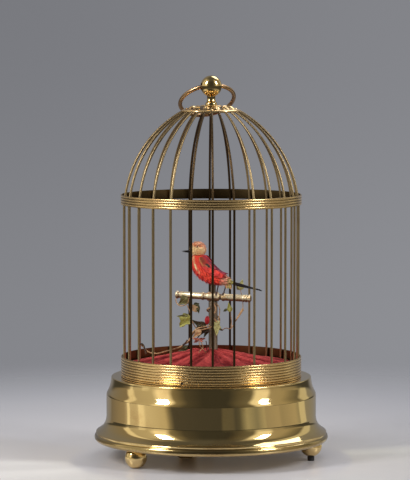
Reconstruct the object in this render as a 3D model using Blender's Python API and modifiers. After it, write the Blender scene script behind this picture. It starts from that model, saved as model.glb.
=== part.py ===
"""A singing bird automaton: a brass cage on a spun base, with a bird on a perch and its works below."""

import math

import bmesh
import bpy
from mathutils import Matrix, Vector

MM = 0.001
GAP = 0.3 * MM

# Overall: the axis of the cage is Z, the front of the cage faces -Y, and the feet stand on Z = 0.
TOTAL_HEIGHT = 280.0 * MM
ROUND_STEPS = 44

# Base shell, spun from sheet brass.
RIM_RADIUS = 85.7 * MM
WALL_RADIUS = 76.9 * MM
LIP_RADIUS = 73.3 * MM
DECK_HEIGHT = 60.0 * MM
RIM_BOTTOM = 13.2 * MM
SHEET = 0.9 * MM
DECK_HOLE_RADIUS = 4.6 * MM

# Bottom plate and feet.
PLATE_RADIUS = 82.4 * MM
PLATE_BOTTOM = 13.9 * MM
PLATE_THICKNESS = 1.8 * MM
FOOT_BALL_RADIUS = 8.0 * MM
FOOT_FLAT_DROP = 7.6 * MM
FOOT_CIRCLE_RADIUS = 75.0 * MM
FOOT_ANGLES = {"foot_front_left": 224.0, "foot_right": 346.0, "foot_back": 104.0}
FOOT_TIP_RADIUS = 2.5 * MM
FOOT_TIP_HEIGHT = 3.0 * MM

# Cage: round wires soldered inside two reeded bands.
BAR_COUNT = 26
BAR_RADIUS = 0.85 * MM
BAR_CIRCLE_RADIUS = 64.0 * MM
FIRST_BAR_ANGLE = 271.0
BAND_OUTER_RADIUS = 66.1 * MM
BAND_INNER_RADIUS = 65.2 * MM
REED_DEPTH = 0.45 * MM
LOWER_BAND_HEIGHT = 14.6 * MM
LOWER_BAND_REEDS = 7
LOWER_BAND_FOOT = 0.9 * MM
MID_BAND_BOTTOM = 186.0 * MM
MID_BAND_HEIGHT = 7.4 * MM
MID_BAND_REEDS = 4
FIXING_HOLE_RADIUS = 1.0 * MM
FIXING_HOLE_HEIGHT = 62.2 * MM
FIXING_HOLE_ANGLES = (251.7, 11.7, 131.7)

# Dome: each wire follows an arc of a circle whose centre lies past the axis.
SHOULDER_HEIGHT = 187.0 * MM
DOME_ARC_RADIUS = 83.7 * MM
DOME_CENTRE_OFFSET = -19.8 * MM
DOME_CENTRE_HEIGHT = 180.9 * MM
DOME_FOOT_RADIUS = 63.4 * MM
DOME_TOP_RADIUS = 20.9 * MM
DOME_POINTS = 7

# Crown: embossed rosette, its nut, the ball finial and the carry ring.
ROSETTE_RADIUS = 20.4 * MM
ROSETTE_RIM_BOTTOM = 253.9 * MM
ROSETTE_CENTRE_BOTTOM = 256.9 * MM
ROSETTE_SHEET = 0.9 * MM
ROSETTE_PETALS = 12
PETAL_RELIEF = 0.55 * MM
STUD_RADIUS = 1.3 * MM
STUD_HOLE_RADIUS = 1.65 * MM
BALL_RADIUS = 7.8 * MM
BALL_CENTRE_HEIGHT = TOTAL_HEIGHT - BALL_RADIUS
BALL_HOLE_RADIUS = 2.9 * MM
RING_RADIUS = 20.0 * MM
RING_WIRE_RADIUS = 1.5 * MM
RING_SEAT = 1.0 * MM
RING_YAW = 13.0
RING_TILT = 2.5
RING_LEAN = 55.4

# Velvet floor of the cage, gathered in folds round the post.
VELVET_RADIUS = 62.6 * MM
VELVET_BOTTOM = DECK_HEIGHT + GAP
VELVET_EDGE_HEIGHT = 68.2 * MM
VELVET_CREST_HEIGHT = 82.0 * MM
VELVET_SLOPE_POWER = 1.05
VELVET_FOLDS = 11
VELVET_FOLD_DEPTH = 1.5 * MM
VELVET_HOLE_RADIUS = 3.7 * MM

# Perch, post and the wire inside the post.
POST_X = 1.5 * MM
POST_RADIUS = 3.2 * MM
POST_NECK_RADIUS = 1.9 * MM
POST_BORE_RADIUS = 1.2 * MM
POST_FOOT_RADIUS = 6.5 * MM
POST_FOOT_THICKNESS = 1.6 * MM
POST_TOP = 130.6 * MM
PULL_WIRE_RADIUS = 0.6 * MM
PULL_WIRE_BOTTOM = 46.8 * MM
PULL_WIRE_TOP = 128.8 * MM
PERCH_HEIGHT = 118.2 * MM
PERCH_HALF_LENGTH = 28.9 * MM
PERCH_RADIUS = 2.5 * MM
PERCH_COLLAR_RADIUS = 3.3 * MM
PERCH_BEAD_RADIUS = 2.9 * MM
PERCH_YAW = -16.0
PERCH_DROP = 1.5

# Vine, in millimetres: places along its stem and twigs, then (base, tip, half width, droop) of leaves.
VINE_STEM_RADIUS = 0.65 * MM
VINE_TWIG_RADIUS = 0.5 * MM
VINE_STEM = (
    (-52.7, 14.0, 81.1), (-47.6, 12.0, 77.0), (-43.2, 8.0, 75.8), (-37.4, 3.0, 76.8),
    (-30.1, -2.0, 78.9), (-24.2, -5.0, 81.6), (-17.7, -7.5, 84.9), (-13.8, -8.0, 89.3),
    (-9.0, -6.6, 94.6), (-2.0, -5.6, 97.5), (5.2, -2.4, 99.2), (5.6, 2.8, 102.4),
    (0.6, 4.6, 105.4), (-2.9, 1.0, 108.0), (-1.4, -3.4, 110.2),
)
VINE_TWIGS = (
    ((-9.0, -6.6, 94.6), (-13.0, -9.0, 99.0), (-15.4, -11.2, 106.0), (-18.5, -12.0, 112.0)),
    ((5.2, -2.4, 99.2), (12.0, -5.0, 96.6), (17.4, -8.0, 102.0), (23.2, -9.0, 110.1)),
    ((-13.8, -8.0, 89.3), (-11.0, -12.0, 87.0), (-7.4, -13.0, 88.0)),
    ((5.6, 2.8, 102.4), (8.2, -2.0, 106.0), (11.0, -6.0, 110.4), (13.2, -8.0, 113.5)),
    ((23.2, -9.0, 110.1), (24.0, -3.0, 112.4), (23.4, 1.0, 116.5), (22.0, 1.5, 123.0)),
)
VINE_LEAVES = (
    ((-18.2, -11.9, 111.4), (-26.0, -12.5, 117.6), 3.4, 0.5),
    ((-15.6, -11.3, 106.4), (-8.8, -12.2, 112.4), 2.6, 0.4),
    ((-14.4, -10.4, 103.4), (-23.8, -12.2, 96.6), 4.2, 0.4),
    ((-6.8, -6.6, 95.4), (-14.7, -9.6, 101.6), 2.6, 0.4),
    ((-9.0, -6.6, 94.6), (-15.0, -9.5, 91.4), 2.2, 0.4),
    ((5.5, -3.0, 99.2), (7.4, -7.4, 90.4), 2.8, 0.5),
    ((12.8, -7.7, 112.9), (8.8, -9.4, 108.4), 2.2, 0.4),
    ((-20.2, -6.6, 83.6), (-18.2, -10.6, 78.6), 1.6, 0.4),
    ((22.0, 1.5, 122.0), (19.4, 3.0, 130.4), 3.3, 0.4),
)
VINE_FLOWERS = (((-3.0, -5.8, 101.2), 1.9, 2.0), ((-7.0, -13.2, 88.2), 2.3, 1.0))

# Bird: torso stations run from the neck to the vent, in the bird's own upright plane.
TORSO_SPINE = (
    (-12.3, 150.8), (-11.6, 148.3), (-10.2, 143.8), (-6.8, 138.4),
    (-1.8, 134.2), (4.0, 131.8), (9.2, 130.2), (14.2, 128.8),
)
TORSO_RADII = (0.0, 5.4, 7.4, 7.4, 6.1, 4.4, 2.8, 0.0)
TORSO_FLATNESS = 0.9
WING_START = 0.2
WING_LENGTH = 0.7
WING_SPREAD = 0.62
WING_ANGLE = 0.95
WING_TURN = 0.28
WING_PROUD = 0.6 * MM
WING_TIP_LIFT = 0.3 * MM
WING_THICKNESS = 0.8 * MM
NECK_CUT = 148.4 * MM
HEAD_CENTRE = Vector((-12.0, 0.0, 153.0)) * MM
HEAD_RADII = (5.8, 5.0, 5.4)
BEAK_ROOT = Vector((-16.6, 0.0, 151.5)) * MM
BEAK_LENGTH = 7.6 * MM
BEAK_DROP = 0.4 * MM
BEAK_RADIUS = 0.5 * MM
LOWER_BEAK_ROOT = Vector((-17.5, 0.0, 150.4)) * MM
LOWER_BEAK_LENGTH = 5.9 * MM
LOWER_BEAK_RISE = 0.25 * MM
LOWER_BEAK_RADIUS = 0.34 * MM
TAIL_ROOT = Vector((14.7, 0.0, 128.75)) * MM
TAIL_LENGTH = 23.6 * MM
TAIL_SLOPE = 13.3
TAIL_ROOT_WIDTH = 3.4 * MM
TAIL_THICKNESS = 1.0 * MM
LEG_PLACES = ((3.0 * MM, PERCH_COLLAR_RADIUS), (8.0 * MM, PERCH_BEAD_RADIUS))
LEG_SPREAD = 1.9 * MM
LEG_RADIUS = 0.5 * MM

# Works in the base.
MODULE = 1.0 * MM
GEAR_BACKLASH = 0.12 * MM
BARREL_TEETH = 40
CENTRE_PINION_TEETH = 10
CENTRE_WHEEL_TEETH = 32
FLY_PINION_TEETH = 8
BARREL_PLACE = Vector((-18.5, -20.0, 0.0)) * MM
CENTRE_DIRECTION = 60.0
FLY_DIRECTION = -10.0
GREAT_WHEEL_BOTTOM = 24.0 * MM
CENTRE_WHEEL_BOTTOM = 39.5 * MM
WHEEL_THICKNESS = 2.0 * MM
LOWER_FRAME_BOTTOM = 18.0 * MM
UPPER_FRAME_BOTTOM = 45.0 * MM
FRAME_THICKNESS = 1.5 * MM
FRAME_SIZE = (92.0 * MM, 70.0 * MM)
FRAME_CENTRE = Vector((-6.0, -4.0, 0.0)) * MM
FRAME_CORNERS = (
    (-1, -0.8), (-0.85, -1), (0.85, -1), (1, -0.8), (1, 0.8), (0.85, 1), (-0.85, 1), (-1, 0.8),
)
PILLAR_RADIUS = 2.5 * MM
PILLAR_INSET = 6.0 * MM
ARBOR_RADIUS = 1.2 * MM
ARBOR_BOTTOM = LOWER_FRAME_BOTTOM - 0.6 * MM
ARBOR_TOP = 47.0 * MM
DRUM_RADIUS = 15.5 * MM
DRUM_HEIGHT = 14.0 * MM
CAM_RADIUS = 5.0 * MM
CAM_OFFSET = 1.6 * MM
CAM_THICKNESS = 1.6 * MM
CAM_BOTTOM = 28.0 * MM
CAM_PITCH = 3.2 * MM
FLY_VANE = (16.0 * MM, 0.8 * MM, 9.0 * MM)
FLY_VANE_HEIGHT = 32.0 * MM
WINDING_ARBOR_RADIUS = 2.0 * MM
KEY_GRIP_WIDTH = 14.6 * MM
KEY_GRIP_BOTTOM = 2.2 * MM
KEY_GRIP_TOP = 11.0 * MM
STOP_LEVER_PLACE = Vector((0.0, 58.0, 0.0)) * MM
STOP_LEVER_TRAVEL = 6.0 * MM

# Bellows and whistle, on the upper frame plate.
BELLOWS_HINGE_X = 8.0 * MM
BELLOWS_TIP_X = 38.0 * MM
BELLOWS_FRONT_Y = 8.0 * MM
BELLOWS_BACK_Y = 30.0 * MM
BELLOWS_HINGE_RISE = 1.5 * MM
BELLOWS_TIP_RISE = 4.0 * MM
BELLOWS_BOARD = (32.0 * MM, 24.0 * MM, 1.2 * MM)
WHISTLE_START = Vector((-46.0, 18.0, 51.4)) * MM
WHISTLE_LENGTH = 34.0 * MM
WHISTLE_RADIUS = 4.6 * MM
WHISTLE_BORE = 3.6 * MM
WHISTLE_MOUTH = (3.0 * MM, 4.0 * MM, 4.0 * MM)
PISTON_HEAD_LENGTH = 4.0 * MM

# Colours as (red, green, blue, roughness, metallic).
BRASS = (0.56, 0.40, 0.16, 0.22, 1.0)
AGED_BRASS = (0.30, 0.22, 0.10, 0.35, 1.0)
GILT = (0.62, 0.47, 0.24, 0.3, 1.0)
STEEL = (0.45, 0.45, 0.46, 0.35, 1.0)
RUBBER = (0.02, 0.02, 0.02, 0.7, 0.0)
VELVET = (0.42, 0.04, 0.05, 0.9, 0.0)
PLUMAGE_RED = (0.62, 0.06, 0.03, 0.8, 0.0)
PLUMAGE_CREAM = (0.70, 0.42, 0.20, 0.8, 0.0)
PLUMAGE_WINE = (0.25, 0.02, 0.05, 0.8, 0.0)
PLUMAGE_BLACK = (0.02, 0.02, 0.02, 0.6, 0.0)
LEAF_GREEN = (0.12, 0.16, 0.05, 0.7, 0.0)
LEATHER = (0.30, 0.16, 0.08, 0.7, 0.0)

PARTS = bpy.data.collections.new("singing_bird_automaton")
CUTTERS = bpy.data.collections.new("cutters")


def clear_scene():
    for obj in list(bpy.data.objects):
        bpy.data.objects.remove(obj)
    bpy.context.scene.collection.children.link(PARTS)
    bpy.context.scene.collection.children.link(CUTTERS)
    CUTTERS.hide_render = True


def finish(obj, look):
    """Gives the object its own material, made from one of the colours above."""
    material = bpy.data.materials.new(obj.name)
    material.use_nodes = True
    shader = material.node_tree.nodes["Principled BSDF"]
    shader.inputs["Base Color"].default_value = (*look[:3], 1.0)
    shader.inputs["Roughness"].default_value = look[3]
    shader.inputs["Metallic"].default_value = look[4]
    obj.data.materials.clear()
    obj.data.materials.append(material)
    return obj


def add(name, data, collection=PARTS):
    obj = bpy.data.objects.new(name, data)
    collection.objects.link(obj)
    return obj


def as_cutter(obj):
    obj.hide_render = True
    obj.display_type = "WIRE"
    return obj


def applied(obj):
    """Replaces the object's mesh or curve by its evaluated mesh, with loose caps welded."""
    bpy.context.view_layer.update()
    graph = bpy.context.evaluated_depsgraph_get()
    mesh = bpy.data.meshes.new_from_object(obj.evaluated_get(graph))
    shape = bmesh.new()
    shape.from_mesh(mesh)
    bmesh.ops.remove_doubles(shape, verts=shape.verts, dist=0.002 * MM)
    bmesh.ops.recalc_face_normals(shape, faces=shape.faces)
    shape.to_mesh(mesh)
    shape.free()
    name, place = obj.name, obj.matrix_world.copy()
    collection = obj.users_collection[0]
    bpy.data.objects.remove(obj)
    solid = add(name, mesh, collection)
    solid.matrix_world = place
    return solid


def rounded(obj, angle=35.0):
    obj.data.shade_smooth()
    obj.data.set_sharp_from_angle(angle=math.radians(angle))
    return obj


def boolean(obj, other, operation):
    """Cuts the other object from this one or joins it on, and applies the result."""
    modifier = obj.modifiers.new(operation.lower(), "BOOLEAN")
    modifier.operation = operation
    modifier.object = other
    solid = applied(obj)
    bpy.data.objects.remove(other)
    return solid


def arc(centre, radius, start, end, count):
    """Points (r, z) on a circle in the profile plane, angles in degrees from +r towards +z."""
    points = []
    for step in range(count):
        angle = math.radians(start + (end - start) * step / (count - 1))
        points.append((centre[0] + radius * math.cos(angle), centre[1] + radius * math.sin(angle)))
    return points


def turned(name, profile, look, steps=ROUND_STEPS, closed=False, collection=PARTS):
    """A turned piece: the profile of (r, z) runs down its outer side, and a closed one has a bore."""
    mesh = bpy.data.meshes.new(name)
    count = len(profile)
    edges = [(i, i + 1) for i in range(count - 1)]
    if closed:
        edges.append((count - 1, 0))
    mesh.from_pydata([(r, 0.0, z) for r, z in profile], edges, [])
    obj = add(name, mesh, collection)
    screw = obj.modifiers.new("turn", "SCREW")
    screw.steps = steps
    screw.render_steps = steps
    screw.use_merge_vertices = True
    screw.merge_threshold = 0.00001
    return finish(rounded(applied(obj)), look)


def tube(name, points, radius, look, resolution=1, cyclic=False, collection=PARTS):
    """A wire along straight runs between the points, with filled ends."""
    curve = bpy.data.curves.new(name, "CURVE")
    curve.dimensions = "3D"
    curve.bevel_depth = radius
    curve.bevel_resolution = resolution
    curve.use_fill_caps = not cyclic
    spline = curve.splines.new("POLY")
    spline.points.add(len(points) - 1)
    for point, place in zip(spline.points, points):
        point.co = (*place, 1.0)
    spline.use_cyclic_u = cyclic
    return finish(add(name, curve, collection), look)


def flat(name, outlines, bottom, thickness, look, collection=PARTS):
    """A flat piece from outlines of (x, y), the later ones being holes, standing on the given height."""
    curve = bpy.data.curves.new(name, "CURVE")
    curve.dimensions = "2D"
    curve.fill_mode = "BOTH"
    curve.extrude = thickness / 2
    for outline in outlines:
        spline = curve.splines.new("POLY")
        spline.points.add(len(outline) - 1)
        for point, place in zip(spline.points, outline):
            point.co = (place[0], place[1], 0.0, 1.0)
        spline.use_cyclic_u = True
    obj = add(name, curve, collection)
    obj.location.z = bottom + thickness / 2
    return finish(applied(obj), look)


def circle(centre, radius, count):
    """Points (x, y) round a circle."""
    points = []
    for step in range(count):
        angle = 2 * math.pi * step / count
        points.append((centre[0] + radius * math.cos(angle), centre[1] + radius * math.sin(angle)))
    return points


def rod(name, start, end, radius, look, sides=12, collection=PARTS):
    """A straight round rod between two points."""
    axis = end - start
    shape = bmesh.new()
    bmesh.ops.create_cone(
        shape, cap_ends=True, segments=sides, radius1=radius, radius2=radius, depth=axis.length
    )
    mesh = bpy.data.meshes.new(name)
    shape.to_mesh(mesh)
    shape.free()
    obj = add(name, mesh, collection)
    turn = axis.to_track_quat("Z", "Y").to_matrix().to_4x4()
    obj.matrix_world = Matrix.Translation((start + end) / 2) @ turn
    return finish(rounded(obj), look)


def box(name, centre, size, look, collection=PARTS):
    shape = bmesh.new()
    bmesh.ops.create_cube(shape, size=1.0)
    bmesh.ops.scale(shape, vec=size, verts=shape.verts)
    mesh = bpy.data.meshes.new(name)
    shape.to_mesh(mesh)
    shape.free()
    obj = add(name, mesh, collection)
    obj.location = centre
    return finish(obj, look)


def polar(radius, degrees, height=0.0):
    angle = math.radians(degrees)
    return Vector((radius * math.cos(angle), radius * math.sin(angle), height))


# Base


def base_shell():
    """Deck, ogee shoulder, straight wall, flared foot and rolled rim, as one spun sheet."""
    outside = [
        (DECK_HOLE_RADIUS, DECK_HEIGHT),
        (LIP_RADIUS - 0.5 * MM, DECK_HEIGHT),
        (LIP_RADIUS, DECK_HEIGHT - 0.5 * MM),
        (74.0 * MM, 54.6 * MM),
        (75.0 * MM, 51.4 * MM),
        (WALL_RADIUS - 0.4 * MM, 48.2 * MM),
        (WALL_RADIUS, 47.2 * MM),
        (WALL_RADIUS, 31.0 * MM),
        (77.4 * MM, 27.5 * MM),
        (78.3 * MM, 25.3 * MM),
        (79.8 * MM, 23.1 * MM),
        (82.0 * MM, 21.2 * MM),
        (84.6 * MM, 19.2 * MM),
        (84.3 * MM, 17.9 * MM),
        (85.3 * MM, 17.1 * MM),
        (RIM_RADIUS, 15.6 * MM),
        (85.2 * MM, 13.9 * MM),
        (84.4 * MM, RIM_BOTTOM),
    ]
    inside = [
        (83.1 * MM, RIM_BOTTOM),
        (83.1 * MM, 18.6 * MM),
        (78.9 * MM, 22.4 * MM),
        (76.5 * MM, 27.6 * MM),
        (WALL_RADIUS - SHEET, 31.0 * MM),
        (WALL_RADIUS - SHEET, 46.6 * MM),
        (73.1 * MM, 54.3 * MM),
        (LIP_RADIUS - SHEET, DECK_HEIGHT - SHEET),
        (DECK_HOLE_RADIUS, DECK_HEIGHT - SHEET),
    ]
    turned("base_shell", outside + inside, BRASS, closed=True)


def slot_outline(centre, half_length, half_width):
    """A slot along X with round ends."""
    points = []
    for side, start in ((1, -90.0), (-1, 90.0)):
        for step in range(7):
            angle = math.radians(start + 30.0 * step)
            x = centre[0] + side * half_length + half_width * math.cos(angle)
            points.append((x, centre[1] + half_width * math.sin(angle)))
    return points


def bottom_plate():
    key_hole = circle(BARREL_PLACE, WINDING_ARBOR_RADIUS + 0.6 * MM, 16)
    lever_slot = slot_outline(STOP_LEVER_PLACE, STOP_LEVER_TRAVEL / 2, 2.3 * MM)
    rim = circle((0.0, 0.0), PLATE_RADIUS, ROUND_STEPS)
    flat("bottom_plate", [rim, key_hole, lever_slot], PLATE_BOTTOM, PLATE_THICKNESS, BRASS)


def ball_foot(name, degrees, lift):
    """A brass ball cut flat below, where it stands, and above, where it meets the bottom plate."""
    centre = lift + FOOT_FLAT_DROP
    top = PLATE_BOTTOM - GAP
    upper = math.degrees(math.asin((top - centre) / FOOT_BALL_RADIUS))
    lower = -math.degrees(math.asin(FOOT_FLAT_DROP / FOOT_BALL_RADIUS))
    profile = [(0.0, top)] + arc((0.0, centre), FOOT_BALL_RADIUS, upper, lower, 8) + [(0.0, lift)]
    foot = turned(name, profile, BRASS, steps=16)
    foot.location = polar(FOOT_CIRCLE_RADIUS, degrees)


def feet():
    for name, degrees in FOOT_ANGLES.items():
        lift = FOOT_TIP_HEIGHT + GAP if name == "foot_right" else 0.0
        ball_foot(name, degrees, lift)
    place = polar(FOOT_CIRCLE_RADIUS, FOOT_ANGLES["foot_right"])
    rod("foot_tip", place, place + Vector((0, 0, FOOT_TIP_HEIGHT)), FOOT_TIP_RADIUS, RUBBER, sides=16)


# Cage


def reeded_band(name, bottom, height, reeds, plain_foot):
    """A band whose outer side is rolled into half-round reeds, over a plain foot line."""
    pitch = (height - plain_foot) / reeds
    profile = [(BAND_INNER_RADIUS, bottom + height)]
    for reed in range(reeds):
        top = bottom + height - reed * pitch
        profile.append((BAND_OUTER_RADIUS - REED_DEPTH, top))
        profile.append((BAND_OUTER_RADIUS, top - 0.5 * pitch))
    profile.append((BAND_OUTER_RADIUS - REED_DEPTH, bottom + plain_foot))
    if plain_foot:
        profile.append((BAND_OUTER_RADIUS, bottom + plain_foot * 0.8))
        profile.append((BAND_OUTER_RADIUS, bottom))
    profile.append((BAND_INNER_RADIUS, bottom))
    return turned(name, profile, BRASS, closed=True)


def lower_band():
    band = reeded_band(
        "lower_band", DECK_HEIGHT + GAP, LOWER_BAND_HEIGHT, LOWER_BAND_REEDS, LOWER_BAND_FOOT
    )
    for degrees in FIXING_HOLE_ANGLES:
        inner = polar(BAND_INNER_RADIUS - 2 * MM, degrees, FIXING_HOLE_HEIGHT)
        outer = polar(BAND_OUTER_RADIUS + 2 * MM, degrees, FIXING_HOLE_HEIGHT)
        drill = as_cutter(rod("drill", inner, outer, FIXING_HOLE_RADIUS, STEEL, 8, CUTTERS))
        band = boolean(band, drill, "DIFFERENCE")


def dome_height(radius):
    """Height of the middle of a dome wire at a radius from the cage's axis."""
    across = radius - DOME_CENTRE_OFFSET
    return DOME_CENTRE_HEIGHT + math.sqrt(DOME_ARC_RADIUS**2 - across**2)


def bar_path(degrees):
    """Up inside the bands, then in over the dome to the rosette's rim."""
    path = [
        polar(BAR_CIRCLE_RADIUS, degrees, DECK_HEIGHT + GAP),
        polar(BAR_CIRCLE_RADIUS, degrees, SHOULDER_HEIGHT),
    ]
    first = math.asin((dome_height(DOME_FOOT_RADIUS) - DOME_CENTRE_HEIGHT) / DOME_ARC_RADIUS)
    last = math.asin((dome_height(DOME_TOP_RADIUS) - DOME_CENTRE_HEIGHT) / DOME_ARC_RADIUS)
    for step in range(DOME_POINTS):
        angle = first + (last - first) * step / (DOME_POINTS - 1)
        radius = DOME_CENTRE_OFFSET + DOME_ARC_RADIUS * math.cos(angle)
        path.append(polar(radius, degrees, DOME_CENTRE_HEIGHT + DOME_ARC_RADIUS * math.sin(angle)))
    return path


def cage():
    for number in range(BAR_COUNT):
        degrees = FIRST_BAR_ANGLE + 360.0 * number / BAR_COUNT
        tube(f"cage_bar_{number + 1:02d}", bar_path(degrees), BAR_RADIUS, BRASS)
    lower_band()
    reeded_band("mid_band", MID_BAND_BOTTOM, MID_BAND_HEIGHT, MID_BAND_REEDS, 0.0)


# Crown


def rosette():
    """A dished disc whose upper side is embossed with petals and whose rim is scalloped."""
    rise = ROSETTE_CENTRE_BOTTOM - ROSETTE_RIM_BOTTOM
    radii = (STUD_HOLE_RADIUS, 5.0 * MM, 10.0 * MM, 14.5 * MM, 18.3 * MM)

    def underside(radius):
        return ROSETTE_RIM_BOTTOM + rise * (1 - (radius / ROSETTE_RADIUS) ** 2)

    upper = [(radius, underside(radius) + ROSETTE_SHEET) for radius in radii]
    rim = [(ROSETTE_RADIUS, ROSETTE_RIM_BOTTOM + 0.7 * MM), (ROSETTE_RADIUS, ROSETTE_RIM_BOTTOM)]
    lower = [(radius, underside(radius)) for radius in (12.0 * MM, STUD_HOLE_RADIUS)]
    disc = turned("rosette", upper + rim + lower, BRASS, steps=3 * ROSETTE_PETALS, closed=True)
    for vertex in disc.data.vertices:
        radius = math.hypot(vertex.co.x, vertex.co.y)
        petal = 0.5 + 0.5 * math.cos(ROSETTE_PETALS * math.atan2(vertex.co.y, vertex.co.x))
        if radius > ROSETTE_RADIUS - 0.5 * MM:
            scallop = 1 - 0.035 * (1 - petal)
            vertex.co.x *= scallop
            vertex.co.y *= scallop
        elif vertex.co.z > underside(radius) + ROSETTE_SHEET / 2 and radius > 6 * MM:
            vertex.co.z += PETAL_RELIEF * petal


def crown_nut():
    """The washer and nut under the rosette that hold the finial's stud."""
    top = ROSETTE_CENTRE_BOTTOM - 0.6 * MM
    washer = [(STUD_HOLE_RADIUS, top), (7.5 * MM, top - 0.4 * MM), (7.5 * MM, top - 1.2 * MM)]
    nut = [(3.1 * MM, top - 1.2 * MM), (3.1 * MM, top - 3.6 * MM), (STUD_HOLE_RADIUS, top - 3.6 * MM)]
    turned("crown_nut", washer + nut, BRASS, steps=12, closed=True)


def finial():
    """Ball, waisted neck and stud, drilled across for the carry ring."""
    seat = ROSETTE_CENTRE_BOTTOM + ROSETTE_SHEET + GAP
    neck = [
        (2.4 * MM, BALL_CENTRE_HEIGHT - 7.4 * MM),
        (1.8 * MM, BALL_CENTRE_HEIGHT - 9.2 * MM),
        (2.2 * MM, BALL_CENTRE_HEIGHT - 11.2 * MM),
        (3.7 * MM, seat + 1.2 * MM),
        (3.7 * MM, seat),
        (STUD_RADIUS, seat),
        (STUD_RADIUS, ROSETTE_CENTRE_BOTTOM - 5.0 * MM),
        (0.0, ROSETTE_CENTRE_BOTTOM - 5.0 * MM),
    ]
    ball = arc((0.0, BALL_CENTRE_HEIGHT), BALL_RADIUS, 90.0, -68.0, 9)
    ball[0] = (0.0, TOTAL_HEIGHT)
    knob = turned("finial", ball + neck, BRASS, steps=20)
    along = ring_axis() * 2 * BALL_RADIUS
    centre = Vector((0.0, 0.0, BALL_CENTRE_HEIGHT))
    drill = rod("ring_drill", centre - along, centre + along, BALL_HOLE_RADIUS, STEEL, 12, CUTTERS)
    rounded(boolean(knob, as_cutter(drill), "DIFFERENCE"))


def ring_axis():
    """The line of the hole across the ball, which the carry ring swings on."""
    yaw = math.radians(RING_YAW)
    tilt = math.radians(RING_TILT)
    return Vector((math.cos(yaw) * math.cos(tilt), math.sin(yaw) * math.cos(tilt), math.sin(tilt)))


def carry_ring():
    """A round wire ring through the ball, leaning back onto the dome wires."""
    axis = ring_axis()
    back = Vector((0, 0, 1)).cross(axis).normalized()
    down = axis.cross(back)
    down = -down if down.z > 0 else down
    lean = math.radians(RING_LEAN)
    outward = down * math.cos(lean) + back * math.sin(lean)
    hole = Vector((0.0, 0.0, BALL_CENTRE_HEIGHT))
    bpy.ops.mesh.primitive_torus_add(
        major_segments=36, minor_segments=8, major_radius=RING_RADIUS, minor_radius=RING_WIRE_RADIUS
    )
    ring = bpy.context.object
    ring.name = "carry_ring"
    turn = Matrix((axis, outward, axis.cross(outward))).transposed().to_4x4()
    ring.data.transform(turn)
    ring.data.transform(Matrix.Translation(outward * (RING_RADIUS - RING_SEAT)))
    ring.location = hole
    for collection in list(ring.users_collection):
        collection.objects.unlink(ring)
    PARTS.objects.link(ring)
    finish(rounded(ring), BRASS)


# Velvet, post and perch


def velvet_height(x, y):
    """The velvet rises from its edge to a crest at the post, in folds that fan out from it."""
    radius = math.hypot(x, y)
    angle = math.atan2(y, x)
    out = min(radius / VELVET_RADIUS, 1.0)
    rise = (VELVET_CREST_HEIGHT - VELVET_EDGE_HEIGHT) * (1 - out**VELVET_SLOPE_POWER)
    sway = 0.5 * math.sin(3 * angle + 1.0) + 0.35 * out
    folds = math.sin(VELVET_FOLDS * angle + 2.0 * sway) * math.sin(math.pi * out**0.7)
    return VELVET_EDGE_HEIGHT + rise + VELVET_FOLD_DEPTH * folds


def velvet_floor():
    rings = (VELVET_HOLE_RADIUS, 10.0 * MM, 19.0 * MM, 29.0 * MM, 40.0 * MM, 52.0 * MM, VELVET_RADIUS)
    recess = (POST_FOOT_RADIUS + 0.4 * MM, VELVET_BOTTOM + POST_FOOT_THICKNESS + 0.4 * MM)
    below = [
        (VELVET_RADIUS, VELVET_BOTTOM),
        (recess[0], VELVET_BOTTOM),
        recess,
        (VELVET_HOLE_RADIUS, recess[1]),
    ]
    profile = [(radius, VELVET_CREST_HEIGHT) for radius in rings] + below
    cloth = turned("velvet_floor", profile, VELVET, steps=5 * VELVET_FOLDS, closed=True)
    for vertex in cloth.data.vertices:
        vertex.co.x += POST_X * (1 - math.hypot(vertex.co.x, vertex.co.y) / VELVET_RADIUS)
        if vertex.co.z > VELVET_CREST_HEIGHT - GAP:
            vertex.co.z = velvet_height(vertex.co.x, vertex.co.y)
    cloth.data.shade_smooth()


def perch_post():
    """A tube on a round foot, stepped down to a neck that passes through the perch into the bird."""
    foot_bottom = DECK_HEIGHT + GAP
    shoulder = PERCH_HEIGHT - PERCH_COLLAR_RADIUS - GAP
    profile = [
        (POST_BORE_RADIUS, POST_TOP),
        (POST_NECK_RADIUS, POST_TOP),
        (POST_NECK_RADIUS, shoulder),
        (POST_RADIUS, shoulder),
        (POST_RADIUS, foot_bottom + POST_FOOT_THICKNESS),
        (POST_FOOT_RADIUS, foot_bottom + POST_FOOT_THICKNESS),
        (POST_FOOT_RADIUS, foot_bottom),
        (POST_BORE_RADIUS, foot_bottom),
    ]
    post = turned("perch_post", profile, AGED_BRASS, steps=16, closed=True)
    post.location.x = POST_X


def pull_wire():
    """The wire up inside the post that works the beak and the tail."""
    low = Vector((POST_X, 0.0, PULL_WIRE_BOTTOM))
    high = Vector((POST_X, 0.0, PULL_WIRE_TOP))
    rod("pull_wire", low, high, PULL_WIRE_RADIUS, STEEL, sides=8)


def perch_frame():
    """The frame of the perch and the bird: X runs along the perch, its origin on the post's axis."""
    place = Matrix.Translation((POST_X, 0.0, 0.0))
    return place @ Matrix.Rotation(math.radians(PERCH_YAW), 4, "Z")


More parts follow.
